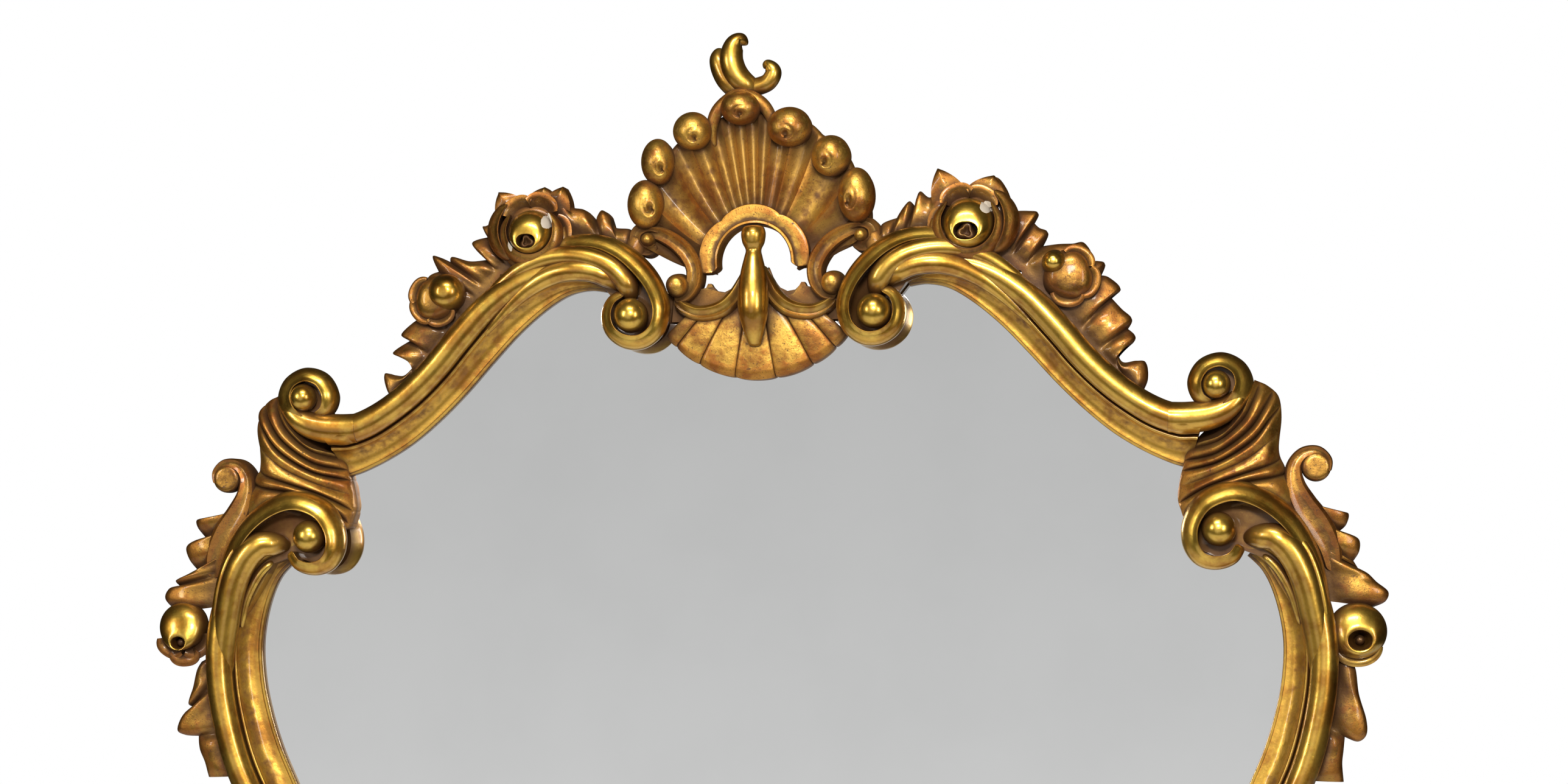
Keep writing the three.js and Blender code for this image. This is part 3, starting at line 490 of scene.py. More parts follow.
def lipped(rows, base, count=150, tip=0.03):
    """A broad scroll along rows of x, z, height, radius: rounded outside, with a sharp lip on the inner side,
    which is on the left of the path, from which it falls to a base."""
    t = stations(count)
    read = smooth(rows, t)
    full = np.maximum(rounded(t, tip), 0.05)
    across = np.array([0.86, 0.9, 1, 1.02, 0.94, 0.8, 0.62, 0.3, -0.05, -0.4, -0.72, -0.98, -1.12, -1.14,
                       -1.0, -0.3])
    rise = np.array([-9, 0, 0.9, 1.04, 1.1, 1.02, 0.82, 0.66, 0.5, 0.26, -0.1, -0.6, -1.2, -1.8, -2.4, -9])
    size = (read[:, 3] * full)[:, None]
    height = np.where(rise > -5, read[:, 2:3] - (read[:, 3:4] - size) * 0.5 + size * rise, base)
    return carried(read[:, :2], np.stack([size * across, height], -1))


def band(rows, profile, base, count=80, tip=0.1):
    """A strap along rows of x, z, height, half width: a profile of [share of the half width, height above or
    below the row's], with walls down to a base."""
    t = stations(count)
    read = smooth(rows, t)
    full = np.maximum(rounded(t, tip), 0.05)
    profile = np.asarray(profile, float)
    across = profile[:, 0] * (read[:, 3] * full)[:, None]
    height = read[:, 2:3] + profile[:, 1] * full[:, None]
    section = np.stack([across, height], -1)
    low = np.stack([section[:, -1, 0], np.full(count, base)], -1)
    other = np.stack([section[:, 0, 0], np.full(count, base)], -1)
    return carried(read[:, :2], np.concatenate([section, low[:, None], other[:, None]], 1))


def dome(centre, rings, lean=(0, 0), around=48, petals=0, spiral=0.0):
    """A turned boss from rings of [radius, height, share of the lean, depth of the petals]: the ring is
    radius * (1 + depth * cos(petals * (angle + spiral * height))) about a centre that leans to one side."""
    rings = smooth(rings, np.linspace(0, 1, 5 * len(rings)))
    turn = np.linspace(0, 2 * np.pi, around, endpoint=False)[None, :]
    radius, height, share, depth = (rings[:, k:k + 1] for k in range(4))
    radius = np.maximum(radius, 0.05)
    wave = 1 + depth * np.cos(petals * turn + spiral * height)
    x = centre[0] + lean[0] * share + radius * wave * np.cos(turn)
    z = centre[1] + lean[1] * share + radius * wave * np.sin(turn)
    return np.stack([x, z, height + 0 * turn], -1)


def slab(outline, low, high):
    """A flat board cut to an outline, eased at its upper edge."""
    outline = np.asarray(outline, float)
    middle = outline.mean(0)
    loops = [np.column_stack([middle + (outline - middle) * k, np.full(len(outline), h)])
             for k, h in ((1, low), (1, high - 1), (0.97, high))]
    return np.stack(loops)


head_rows = [
    [113, 186, 11, 6], [126, 187.5, 14, 7.5], [142, 184, 19, 8.5], [160, 173, 25, 9], [180, 156, 28, 9.5],
    [200, 135, 28, 10], [220, 113, 27, 10], [240, 93.5, 27, 10], [260, 77, 28, 10], [280, 64.5, 29, 10.5],
    [300, 55, 32, 11], [314, 50.5, 36, 11],
]
shoulder_rows = [
    [322, 84, 22, 3], [333, 86, 27, 5], [343, 91.5, 31, 6.4], [351, 100, 33, 6.8], [353.5, 111, 33.5, 6.2],
    [349, 121.5, 33.5, 5.5], [337.5, 127, 34, 5.1], [325, 123, 34, 4.9], [318.8, 112, 34, 4.7],
    [321.5, 101, 33, 4], [330, 95.5, 31, 3],
]
shoulder_roll = [[300, 87, 25, 11], [312, 86.5, 25.5, 11.2], [326, 87.5, 27, 11], [338, 91, 29, 9.5],
                 [347, 97.5, 30, 7.5], [352, 104, 30, 5.5]]
shoulder_floor = [(318, 84), (340, 90), (350, 102), (348, 118), (336, 124), (323, 119), (319, 106), (322, 96)]
shoulder_eyes = {"left": (339, 110), "right": (334, 109.5)}
eye_rings = [[11, 8, 0, 0], [10.5, 26, 0, 0], [9.6, 33, 0.2, 0], [8.4, 38.5, 0.7, 0], [5.6, 42, 1, 0],
             [2.8, 43.2, 1, 0], [0, 43.6, 1, 0]]


stem_foot = 8.0


def ball(centre, radius, level):
    """A round button on a short stem: a half sphere of that radius whose middle is at that level."""
    up = np.radians(np.linspace(-20, 90, 12))
    round_part = np.stack([radius * np.cos(up), level + radius * np.sin(up), 0 * up, 0 * up], -1)
    stem = [[radius * 0.8, stem_foot, 0, 0], [radius * 0.85, level - radius * 0.7, 0, 0]]
    return dome(centre, np.concatenate([stem, round_part]))


def scaled(rings, size, lift=0.0):
    """The same rings with their radii scaled and their tops lifted."""
    rings = np.array(rings, float)
    rings[:, 0] *= size
    rings[1:, 1] += lift
    return rings


def head_rail(hand):
    """The moulding, the volute at its outer end and the round button in it."""
    return [
        (rail(head_rows, 0.0, 1.0, 170), hollow_places),
        roll(shoulder_roll, 70, tip=0.12, ends=(False, True)),
        lipped(shoulder_rows, lip_front, 170),
        slab(shoulder_floor, lip_front + 1, 28),
        ball(shoulder_eyes[hand], 10.3, 33.5),
    ]


stile_head = [
    [352, -10, 16, 7.5], [366, -24, 22, 9], [375, -45, 26, 10], [380, -72, 28, 10], [379, -100, 29, 10],
    [374, -126, 30, 10], [366, -152, 31, 10], [355, -178, 31, 10],
]
stile_waist = [
    [338, -216, 31, 10], [316, -266, 31, 10], [294, -322, 31, 10], [275, -384, 30, 10], [262, -448, 29, 9.5],
    [256, -512, 28, 9.5], [256, -572, 27, 9], [262, -630, 26, 9], [272, -680, 25, 8.5],
]
stile_foot = [[lower_scale * x, lower_level - lower_scale * z, lower_scale * w, lower_scale * r]
              for x, z, w, r in reversed(stile_head)]
stile_rows = stile_head + stile_waist + stile_foot
waist_joint = 0.42

side_rim = [
    [410, -84, 24, 3.6], [407.5, -44, 28, 4.8], [399.5, -12, 31, 5.8], [386, 11, 33.5, 6.6], [367, 27, 35, 7],
    [346, 33.5, 36, 7], [326, 26.5, 36.5, 6.4], [316, 12, 36.5, 5.8], [315, -3, 36.5, 5.4],
    [321.5, -14, 36.5, 5], [333, -17.5, 36, 4.6], [344.5, -14, 35, 4.2], [350.5, -5, 34, 3.6],
]
side_head = [
    [352, -1, 25, 6], [362, 1, 29, 8.5], [375, 0, 32, 10], [387, -12, 32, 10.5], [396, -32, 30, 10.5],
    [402, -58, 27, 10], [405, -76, 25, 9.4], [407, -94, 22.5, 9], [408, -112, 19.5, 8.4],
]
side_ribs = [
    [[384, 7, 31, 3.2], [396, -8, 33, 3.6], [404, -28, 33, 3.6], [409, -52, 31, 3.2], [410, -74, 28, 2.4]],
    [[366, -12, 26, 2.6], [376, -22, 27, 3], [386, -40, 26, 3], [392, -62, 23, 2.4]],
]
side_floor = [(318, 14), (326, 27), (344, 33), (367, 30), (388, 15), (402, -7), (408, -50), (392, -58),
              (366, -14), (350, -8), (333, -14), (320, -8)]


def side_scroll():
    """The scroll that turns back over the head of a stile, the head of the roll under it and its ribs."""
    return [
        slab(side_floor, lip_front + 1, 25),
        lipped(side_rim, lip_front, 200),
        roll(side_head, 70, tip=0.16),
        *[roll(rib, 50, tip=0.2) for rib in side_ribs],
        ball((335, 6.5), 12.4, 33.5),
    ]


for hand, side in sides.items():
    carve(f"head_rail_{hand}", head_rail(hand), head(side), burnished,
          replaces=[f"top_rail_{hand}"], second=lit_cove_gilt)
    carve(f"foot_rail_{hand}", head_rail(hand), foot(side), burnished,
          replaces=[f"bottom_rail_{hand}"], second=lit_cove_gilt)
    carve(f"stile_upper_{hand}", [(rail(stile_rows, 0.012, waist_joint, 190), hollow_places), *side_scroll()],
          head(side), burnished, replaces=[f"upper_stile_{hand}"], second=lit_cove_gilt)
    carve(f"stile_lower_{hand}", [(rail(stile_rows, waist_joint, 0.988, 220), hollow_places)], head(side),
          burnished, replaces=[f"lower_stile_{hand}"], second=lit_cove_gilt)
    carve(f"stile_foot_scroll_{hand}", side_scroll(), foot(side), burnished)

# ---------- shoulder and knee blocks ----------
# A carved block hides the mitre between rail and stile: ribs of acanthus sweep over it from the glass to a
# ragged outer edge. It is glued over the joint and gilded matt.
block_ribs = [
    [[316, 68, 14], [336, 73, 27], [350, 86, 31], [357, 100, 32], [361, 113, 22]],
    [[312, 60, 16], [334, 65, 29], [354, 80, 33], [364, 96, 32], [370, 109, 20]],
    [[310, 52, 17], [334, 57, 29], [358, 73, 33], [371, 90, 31], [378, 101, 20]],
    [[308, 44, 18], [334, 51, 29], [358, 64, 32], [371, 78, 30], [380, 86, 19]],
    [[306, 30, 18], [328, 40, 29], [352, 49, 31], [369, 57, 29], [378, 63, 18]],
    [[308, 21, 20], [327, 34, 29], [350, 42, 32], [371, 47, 30], [382, 51, 18]],
    [[313, 12, 22], [331, 27, 29], [352, 35, 31], [374, 37, 29], [388, 38, 17]],
    [[330, 12, 20], [346, 22, 25], [366, 25, 28], [388, 15, 26], [404, 2, 15]],
]
groove_depths = np.array([5.5, 7, 6.5, 3.2, 5.5, 6.5, 4])


rib_steps = 12  # places across a rib
rib_length_steps = 46
rib_drop = 3.0


def ribbed(ribs, depths, base):
    """Ribs side by side with sharp grooves between: the height falls by depth * (1 - |cos(pi * u)| ** 0.8), u
    counting the ribs, and rounds off by a drop at both ends."""
    ribs = np.asarray(ribs, float)
    n = len(ribs)
    u = np.linspace(0, n - 1, (n - 1) * rib_steps + 1)
    t = np.linspace(0, 1, rib_length_steps)
    lines = np.stack([smooth(rib, t) for rib in ribs])
    rows = smooth(lines.reshape(n, -1), u / (n - 1)).reshape(len(u), rib_length_steps, 3)
    depth = depths[np.minimum(u.astype(int), n - 2)]
    fall = depth * (1 - np.abs(np.cos(np.pi * u)) ** 0.8)
    ends = np.clip(np.minimum(t, 1 - t) / 0.12, 0, 1)
    rows[..., 2] -= fall[:, None] * (0.35 + 0.65 * ends)
    rows[..., 2] -= rib_drop * (1 - np.sqrt(1 - (1 - ends) ** 2))
    first, last = rows[:, :1].copy(), rows[:, -1:].copy()
    first[..., 2] = last[..., 2] = base
    return np.concatenate([first, rows, last], 1)


for hand, side in sides.items():
    carve(f"shoulder_acanthus_{hand}", [ribbed(block_ribs, groove_depths, 0)], head(side), matt,
          replaces=[f"shoulder_block_{hand}"])
    carve(f"knee_acanthus_{hand}", [ribbed(block_ribs, groove_depths, 0)], foot(side), matt,
          replaces=[f"knee_block_{hand}"])

# ---------- inner scrolls ----------
# On each side of the crest the rail swells into a deep volute: a thin burnished rim, a dark hollow, a roll
# that dives into it and a round button. It is carved from its own block and glued to the rail.
inner_rim = [
    [158, 219, 25, 3.4], [136, 222.5, 29, 4.6], [115, 221.5, 31, 5.2], [97, 214, 33, 5.8],
    [82, 201, 35, 6], [72, 187, 36, 5.6], [67, 171, 36.5, 5], [70.5, 156, 36.5, 4.6],
    [81, 147.5, 36.5, 4.6], [94, 147.5, 36.5, 4.6], [104.5, 155, 36, 4.4], [108, 167, 35.5, 4.2],
    [104, 178, 34, 3.6], [95, 183.5, 32, 2.8],
]
inner_neck = [
    [90, 178, 30, 7], [93, 190, 32, 8.2], [101, 200, 33, 8.4], [114, 207.5, 33, 8], [132, 211.5, 32, 7.4],
    [152, 210.5, 30, 6.8], [172, 203.5, 28, 6], [190, 191, 26, 4.8], [205, 176, 24, 3],
]
lower_neck = [
    [98, 186, 28, 5.5], [106, 194, 31, 7.4], [118, 199.5, 32, 8], [134, 201, 31.5, 8.2], [150, 198, 29, 8],
    [166, 190, 27, 7], [181, 178.5, 24, 5.4], [195, 164.5, 21.5, 3.6], [206, 152.5, 20, 2.4],
]
inner_floor = [(68, 164), (70, 182), (80, 199), (98, 213), (116, 220), (146, 219), (146, 200), (112, 188),
               (104, 178), (105, 160), (94, 149), (78, 150)]


def inner_scroll():
    """Rim, hollow, the two rolls that dive into it, and the button."""
    return [
        slab(inner_floor, lip_front + 1, 22),
        lipped(inner_rim, lip_front, 210),
        roll(inner_neck, 110, tip=0.12),
        roll(lower_neck, 80, tip=0.16),
        ball((89.5, 166.5), 12.8, 34.5),
    ]


for hand, side in sides.items():
    carve(f"volute_head_{hand}", inner_scroll(), head(side), burnished,
          replaces=[f"inner_scroll_head_{hand}"])
    carve(f"volute_foot_{hand}", inner_scroll(), foot(side), burnished,
          replaces=[f"inner_scroll_foot_{hand}"])

# ---------- shell ----------
# The crest is a pierced board carved as an open shell: hollow flutes spread from an arch to rolled-over ends,
# with a leafy scroll on each side. It is doweled to the head rails and matt gilded.
shell_centre = np.array([0.0, 205.0])
flute_edges = np.array([12, 40, 62, 73, 83, 88, 93, 98, 103, 109, 118, 128.5, 149, 171.0])
flute_root = 31
spread = 0.28  # how much further round the flutes start than they end
shell_lobes = [
    (-9, 318, 15, 12.5, 21), (27, 303, 16.5, 14.5, 21), (57.5, 281, 14.5, 15, 21), (76, 252, 13.5, 20, 21),
    (-45, 302, 14.5, 14, 20), (-71, 280, 12.5, 17, 20), (-80.5, 249, 13.5, 18, 20),
]


def shell_edge(degrees):
    """How far the flutes reach at an angle: an arch, 80 mm at the sides and 108 mm at the top."""
    return 80 + 28 * np.sin(np.radians(np.clip(degrees, 0, 180))) ** 1.2


def flutes():
    """Hollow flutes with sharp arrises: across each the height is |2w - 1| ** 1.6, lowest in the middle. They
    leave the arch further round than they end, by 1 + spread * (1 - share) ** 1.3 from the upright."""
    turn = [np.linspace(a, b, 14, endpoint=False) for a, b in zip(flute_edges, flute_edges[1:])]
    turn = np.concatenate([*turn, flute_edges[-1:]])
    which = np.clip(np.searchsorted(flute_edges, turn, side="right") - 1, 0, len(flute_edges) - 2)
    wide = flute_edges[which + 1] - flute_edges[which]
    w = (turn - flute_edges[which]) / wide
    cup = (np.abs(2 * w - 1) ** 1.6) * np.clip(wide / 12, 0.5, 1.15)
    share = np.linspace(0, 1, 44)[None, :]
    angle = np.radians(90 + (turn[:, None] - 90) * (1 + spread * (1 - share) ** 1.3))
    outer = shell_edge(turn)[:, None] + 4 - 2.5 * cup[:, None]
    radius = flute_root + (outer - flute_root) * share
    depth = 1.2 + 5.4 * np.sin(np.pi * np.clip(share * 0.6 + 0.04, 0, 1))
    height = 11.5 + 4 * share ** 2 + depth * cup[:, None] - 4 * np.clip((share - 0.95) / 0.05, 0, 1) ** 2
    x = shell_centre[0] + radius * np.cos(angle)
    z = shell_centre[1] + radius * np.sin(angle)
    top = np.stack([x, z, height], -1)
    back = top[:, [-1, 0]].copy()
    back[..., 2] = 0
    return np.concatenate([top, back], 1)


def lobe(x, z, wide, tall, top):
    """A rolled-over flute end: a ball 13 mm high over its edge, with a cut of 2.6 * exp(-(gap / 0.1)^2) that
    winds out of a small pit on the side of the flutes, at 0.14 + 0.48 * share of a turn from its middle."""
    inward = (shell_centre - (x, z)) / np.linalg.norm(shell_centre - (x, z))
    out = np.concatenate([[0.84, 0.97], np.linspace(1, 0.02, 34)])[:, None]
    turn = np.linspace(0, 2 * np.pi, 60, endpoint=False)[None, :]
    across, up = out * np.cos(turn), out * np.sin(turn)
    pit = inward * 0.42
    gap_x, gap_z = across - pit[0], up - pit[1]
    gap = np.hypot(gap_x, gap_z)
    bearing = np.arctan2(gap_z, gap_x) - np.arctan2(inward[1], inward[0])
    winding = np.sign(x) * bearing % (2 * np.pi) / (2 * np.pi)
    cut = 2.6 * np.exp(-((gap - 0.14 - 0.48 * winding) / 0.1) ** 2) * np.clip(1 - 1.6 * winding, 0, 1)
    height = top + 13 * np.sqrt(1 - (0.99 * np.minimum(out, 1)) ** 2) - cut - 3.5 * np.exp(-(gap / 0.13) ** 2)
    height[0], height[1] = 0.6, top * 0.6
    return np.stack([x + across * wide, z + up * tall, height + 0 * across], -1)


crown_rim = [[-30, 290, 15, 3], [-31, 305, 18, 4.2], [-25, 318, 20, 5], [-10, 327, 21, 5.5], [5, 322, 20, 5],
             [13, 311, 18, 4.2], [15, 297, 15, 3]]


arch_level = 206
arch_radius = 33


def arch():
    """A flat band round the opening with a raised inner rim. Its outer edge has three scallops, of
    3.6 * |cos(2.6 * angle from just left of the top)| ** 0.6 over a width of 5.4 mm, and its feet flare."""
    count = 160
    turn = np.linspace(194, -8, count)
    line = arc((0, arch_level), arch_radius, 194, -8, count)
    wave = np.abs(np.cos(np.radians(turn - 95) * 2.6)) ** 0.6
    foot_flare = 3.2 * np.clip((np.abs(turn - 90) - 84) / 14, 0, 1) ** 2
    wide = 5.4 + 3.6 * wave + foot_flare
    across = np.array([1, 1, 0.92, 0.6, 0.1, -0.45, -0.62, -0.85, -0.97, -1])
    rise = np.array([-6, -1, 0.6, 1.3, 0.4, 0.2, 2.4, 2.8, 1.6, -8])
    level = 19 - 1.5 * np.clip((np.abs(turn - 90) - 80) / 30, 0, 1)
    outward = np.where(across[None, :] > 0, wide[:, None] * across, 6.2 * across)
    outward = outward * np.maximum(rounded(np.linspace(0, 1, count), 0.035), 0.2)[:, None]
    section = np.stack([outward, level[:, None] + rise[None, :]], -1)
    base = np.stack([section[:, [-1, 0], 0], np.full((count, 2), 1.2)], -1)
    return carried(line, np.concatenate([section, base], 1))


scroll_profile = [(-1, -2), (-0.95, 1.5), (-0.75, 3), (-0.5, 2.2), (-0.2, 0), (0.2, -0.6), (0.5, 0.4),
                  (0.8, 1.6), (1, -1)]


def crest_scroll(s):
    """The leafy C on one side of the opening, its two ends and the web behind it."""
    c = [[s * 80, 229, 18, 4.5], [s * 70, 227, 19, 5.5], [s * 59, 221, 20, 6], [s * 50, 212, 20, 6.4],
         [s * 45, 201, 20, 6.2], [s * 46, 190, 20, 6], [s * 52, 182, 19, 5.4], [s * 60, 180, 18, 4.6]]
    curl = [[s * 68, 230, 16, 4], [s * 78, 233, 18, 4.6], [s * 87, 229, 19, 5], [s * 88, 220, 19, 5],
            [s * 80, 215, 19, 4.4], [s * 73, 219, 18, 3.4]]
    stem = [[s * 86, 226, 12, 8], [s * 90, 214, 16, 8], [s * 92, 202, 17, 6]]
    web_half = [(9, 202), (12.5, 193), (17, 187), (23, 184), (29, 185), (32, 188), (33.5, 190.5), (36, 190.5),
                (37.5, 187.5), (42, 186.5), (46, 188), (52, 182), (62, 182), (64, 162), (20, 162), (6, 175)]
    web = [(s * x, z) for x, z in web_half]
    profile = scroll_profile if s > 0 else [(-a, h) for a, h in reversed(scroll_profile)]
    return [
        band(c, profile, 1.8, 80, 0.06), band(curl, profile, 2.4, 60, 0.1), roll(stem, 30),
        slab(web, 3, 12),
        dome((s * 57.5, 189), scaled(eye_rings, 0.88, -13)),
        dome((s * 79, 223), scaled(eye_rings, 0.55, -15)),
    ]


def shell():
    """Flutes, rolled ends, arch and side scrolls."""
    lobes = [lobe(*one) for one in shell_lobes]
    return [flutes(), *lobes, roll(crown_rim, 70), arch(), *crest_scroll(1), *crest_scroll(-1)]


carve("shell_crest", shell(), head(1), matt, replaces=["crest_shell"])
carve("shell_base", shell(), foot(1), matt, replaces=["base_shell"])

# ---------- finial ----------
# A broken-ring leaf stands on the top of the shell. It is carved in the round, burnished, and pegged into
# the top lobe.
finial_back = [[-4, 327, 12, 7], [-13, 333, 13, 8], [-21, 342, 13, 8.4], [-26, 354, 13, 7.4],
               [-26, 364, 13, 4]]
finial_hook = [[4, 331, 15, 7], [-6, 336, 17, 8.4], [-13, 344, 18, 9], [-16, 354, 19, 8.8],
               [-14, 364, 19, 7.4], [-9, 368, 19, 5.4], [-4, 365, 18, 2.6]]
finial_curl = [[-8, 333, 13, 6.6], [2, 334, 15, 6.6], [11, 337, 17, 6.4], [15, 344, 18, 6],
               [11, 349, 18, 4.4], [7, 348, 17, 2.4]]
finial_parts = [roll(finial_back, 60, tip=0.2), roll(finial_hook, 80, tip=0.14),
                roll(finial_curl, 70, tip=0.16),
                dome((-6, 329), [[9, 2, 0, 0], [10, 9, 0, 0], [8, 16, 0, 0], [0, 20, 0, 0]])]
carve("finial_leaf", finial_parts, head(1), burnished, replaces=["crest_finial"])

# ---------- pendant ----------
# A burnished drop hangs in the opening of the shell from a bead, and two moulded arms spring from it to the
# scrolls. It is carved with the board of the crest and undercut.
drop_rows = [
    [0, 232, 22, 7], [0, 226, 23, 9], [0, 219, 23, 8.2], [0, 213.5, 23, 5.8], [0, 208, 24, 6.8],
    [0, 197, 25, 9.4], [0, 182, 27, 11.2], [0, 168, 27, 11], [0, 157, 25, 8.4], [0, 149, 22, 5.8],
    [0, 143, 19, 4],
]
arm_profile = [(-1, -3), (-0.9, 0.5), (-0.6, 2), (-0.3, 0.8), (0, 1.6), (0.3, 3.2), (0.55, 3.4),
               (0.85, 1.6), (1, -3)]


def pendant():
    """The drop and its two arms."""
    arms = []
    for s in (1, -1):
        rows = [[s * 5, 203, 16, 2.5], [s * 8.5, 192, 19, 4.6], [s * 14, 181, 21, 6],
                [s * 22, 173, 21, 6.4], [s * 32, 169, 21, 6.2], [s * 43, 168.5, 20, 5.8],
                [s * 52, 172, 19, 5.2], [s * 59, 177.5, 18, 4]]
        profile = arm_profile if s > 0 else [(-a, h) for a, h in reversed(arm_profile)]
        arms.append(band(rows, profile, 6, 90, 0.08))
    return [roll(drop_rows, 150, 250, -70, tip=0.05), *arms]


carve("pendant_crest", pendant(), head(1), burnished, replaces=["crest_pendant"])
carve("pendant_base", pendant(), foot(1), burnished, replaces=["base_pendant"])

# ---------- apron ----------
# Below the pendant a fan of matt, speckled leaves covers the cross rail and laps over the head of the glass.
# Its segments are cut apart by dark V grooves.
apron_edges = np.array([-52, -44.5, -30, -11, 9.5, 29, 43, 52.0])
apron_reach = 85.5
apron_root = 28


def apron():
    """Segments between grooves: height = 11.9 + a swell of 3 mm + 3.2 * (4 w (1 - w)) ** 0.16 across each,
    with a scalloped end. They start under the arms of the pendant, at apron_root * (1 + (turn / 52)^2)."""
    eased = (1 - np.cos(np.linspace(0, np.pi, 19)[:-1])) / 2
    turn = [a + (b - a) * eased for a, b in zip(apron_edges, apron_edges[1:])]
    turn = np.concatenate([*turn, apron_edges[-1:]])
    which = np.clip(np.searchsorted(apron_edges, turn, side="right") - 1, 0, len(apron_edges) - 2)
    w = (turn - apron_edges[which]) / (apron_edges[which + 1] - apron_edges[which])
    puff = (4 * w * (1 - w)) ** 0.16
    share = np.linspace(0, 1, 26)[None, :]
    outer = (apron_reach - 2.2 + 2.6 * puff)[:, None]
    inner = apron_root + apron_root * (turn[:, None] / 52) ** 2
    radius = inner + (outer - inner) * share
    bend = turn[:, None] + 3 * np.sin(np.radians(turn))[:, None] * (1 - share)
    lift = 3.0 * np.sin(np.pi * (0.2 + 0.7 * share))
    height = 11.9 + lift + 3.2 * puff[:, None] - 3.5 * np.clip((share - 0.9) / 0.1, 0, 1) ** 2
    x = radius * np.sin(np.radians(bend))
    z = shell_centre[1] - radius * np.cos(np.radians(bend))
    top = np.stack([x, z, height], -1)
    back = top[:, [-1, 0]].copy()
    back[..., 2] = lip_back
    return np.concatenate([top, back], 1)


cross_rail = [(-104, 178), (-66, 184), (-54, 173), (-34, 167), (-14, 170), (14, 170), (34, 167),
              (54, 173), (66, 184), (104, 178), (104, 162), (-104, 162)]
for name, put, node in (("apron_crest", head(1), "crest_apron"), ("apron_base", foot(1), "base_apron")):
    carve(name, [slab(cross_rail, 0, lip_front), apron()], put, matt, replaces=[node])

# ---------- roses and buds ----------
# An open rose sits on each rail over the shoulder of the volute, with a closed bud further out. Both are
# carved from their own blocks and burnished on the petals; the roses of the head are chipped to the white
# gesso in places.
whole_skin = (0, 1000)  # every place on the loops has the second finish
rose_forms = {
    "left": {"at": (165, 229), "lean": (1, -7), "hole": 6, "dome": 17,
             "chips": [(152, 237, 3.5, 6), (179, 219, 2, 4)]},
    "right": {"at": (158, 228), "lean": (-1, -6), "hole": 7.4, "dome": 19, "chips": [(171, 240, 4, 5)]},
}


def petal(centre, direction, spread, inner, outer, low, high, curl=3.0):
    """A cupped petal: a fan of rings from an inner to an outer radius about a centre, rising as a square and
    turning over at its rim, narrower at the foot; 1.6 mm thick."""
    u = np.linspace(-1, 1, 23)[:, None]
    v = np.linspace(0, 1, 16)[None, :]
    reach = inner + (outer - inner) * v * (1 - 0.28 * np.abs(u) ** 3)
    turn = np.radians(direction + spread * u * (0.55 + 0.45 * v))
    height = low + (high - low) * v ** 0.7 - curl * np.clip((v - 0.72) / 0.28, 0, 1) ** 2 + 1.6 * (u ** 2) * v
    x = centre[0] + reach * np.cos(turn)
    z = centre[1] + reach * np.sin(turn)
    top = np.stack([x, z, height], -1)
    under = top[:, ::-1].copy()
    under[..., 2] = np.minimum(under[..., 2] - 1.8, low + (under[..., 2] - low) * 0.8)
    return np.concatenate([top, under], 1)


leaf_foot = 2.0


def pointed(root, tip, wide, low, high):
    """A pointed leaf from a root to a tip, with a keel along it: its half width is
    wide * sin(pi * (0.16 + 0.84 * s) ** 0.85) ** 0.8."""
    root, tip = np.asarray(root, float), np.asarray(tip, float)
    s = np.linspace(0, 1, 26)[:, None]
    u = np.linspace(-1, 1, 13)[None, :]
    run = tip - root
    left = np.array([-run[1], run[0]]) / np.linalg.norm(run)
    half = wide * np.clip(np.sin(np.pi * (0.16 + 0.84 * s) ** 0.85), 0.02, 1) ** 0.8
    x = root[0] + run[0] * s + left[0] * half * u
    z = root[1] + run[1] * s + left[1] * half * u
    height = low + (high - low) * np.sin(np.pi / 2 * s) + 2.4 * (1 - np.abs(u)) ** 0.8 - 3 * s ** 6
    top = np.stack([x, z, height + 0 * x], -1)
    back = top[:, [-1, 0]].copy()
    back[..., 2] = leaf_foot
    return np.concatenate([top, back], 1)


def crescent(centre, radius, start, end, level, half):
    """A petal that wraps a ball: a lipped crescent along an arc, in degrees, its lip on the inner side."""
    line = arc(centre, radius, start, end, 9)
    thick = half * np.sin(np.linspace(0.12, np.pi - 0.12, 9)) ** 0.6
    return lipped(np.column_stack([line, np.full(9, level), thick]), 8, 90, tip=0.08)


def rose(hand):
    """A ball of petals with an oval mouth low on its front and folds in it, wrapped by crescent petals, with
    three open ones behind."""
    form = rose_forms[hand]
    x, z = form["at"]
    size, mouth = form["dome"], form["hole"]
    heart = [[size * 0.96, 14, 0, 0], [size, 26, 0, 0], [size * 0.95, 33, 0.05, 0],
             [size * 0.82, 39, 0.25, 0.02], [size * 0.62, 43, 0.6, 0.06], [mouth + 1, 44.3, 1, 0.14],
             [mouth, 43.2, 1, 0.16], [mouth - 0.3, 36, 1, 0.16], [mouth - 0.8, 27, 1, 0.1],
             [mouth * 0.4, 25, 1, 0], [0, 24.5, 1, 0]]
    wraps = [crescent((x, z), size + 3.6, 132, 402, 33, 4.4),
             crescent((x + 0.5, z - 0.5), size + 8.6, 168, 318, 27, 4.2),
             crescent((x + 5, z + 2), size + 7, -62, 58, 29, 5)]
    open_petals = [petal((x, z), turn, 30, 12, reach, 17, top, 2.0)
                   for turn, reach, top in ((62, 30, 31), (112, 31, 32), (176, 30, 28))]
    core = dome((x, z), [[22, 1.6, 0, 0], [24, 10, 0, 0], [23, 20, 0, 0], [18, 27, 0, 0], [0, 28, 0, 0]])
    folds = [[mouth * 0.7, 24, 0, 0.1], [mouth * 0.9, 33, 0, 0.12], [mouth * 0.8, 38.5, 0, 0.2],
             [mouth * 0.5, 40, 0, 0.24], [mouth * 0.25, 37.5, 0.3, 0.2], [0, 36.5, 0.4, 0]]
    inside = dome((x + form["lean"][0], z + form["lean"][1]), folds, lean=(2, -3), around=72, petals=3,
                  spiral=0.22)
    petals = [(one, whole_skin) for one in (core, *wraps, *open_petals, inside)]
    return [dome((x, z), heart, lean=form["lean"], around=72, petals=2), *petals]


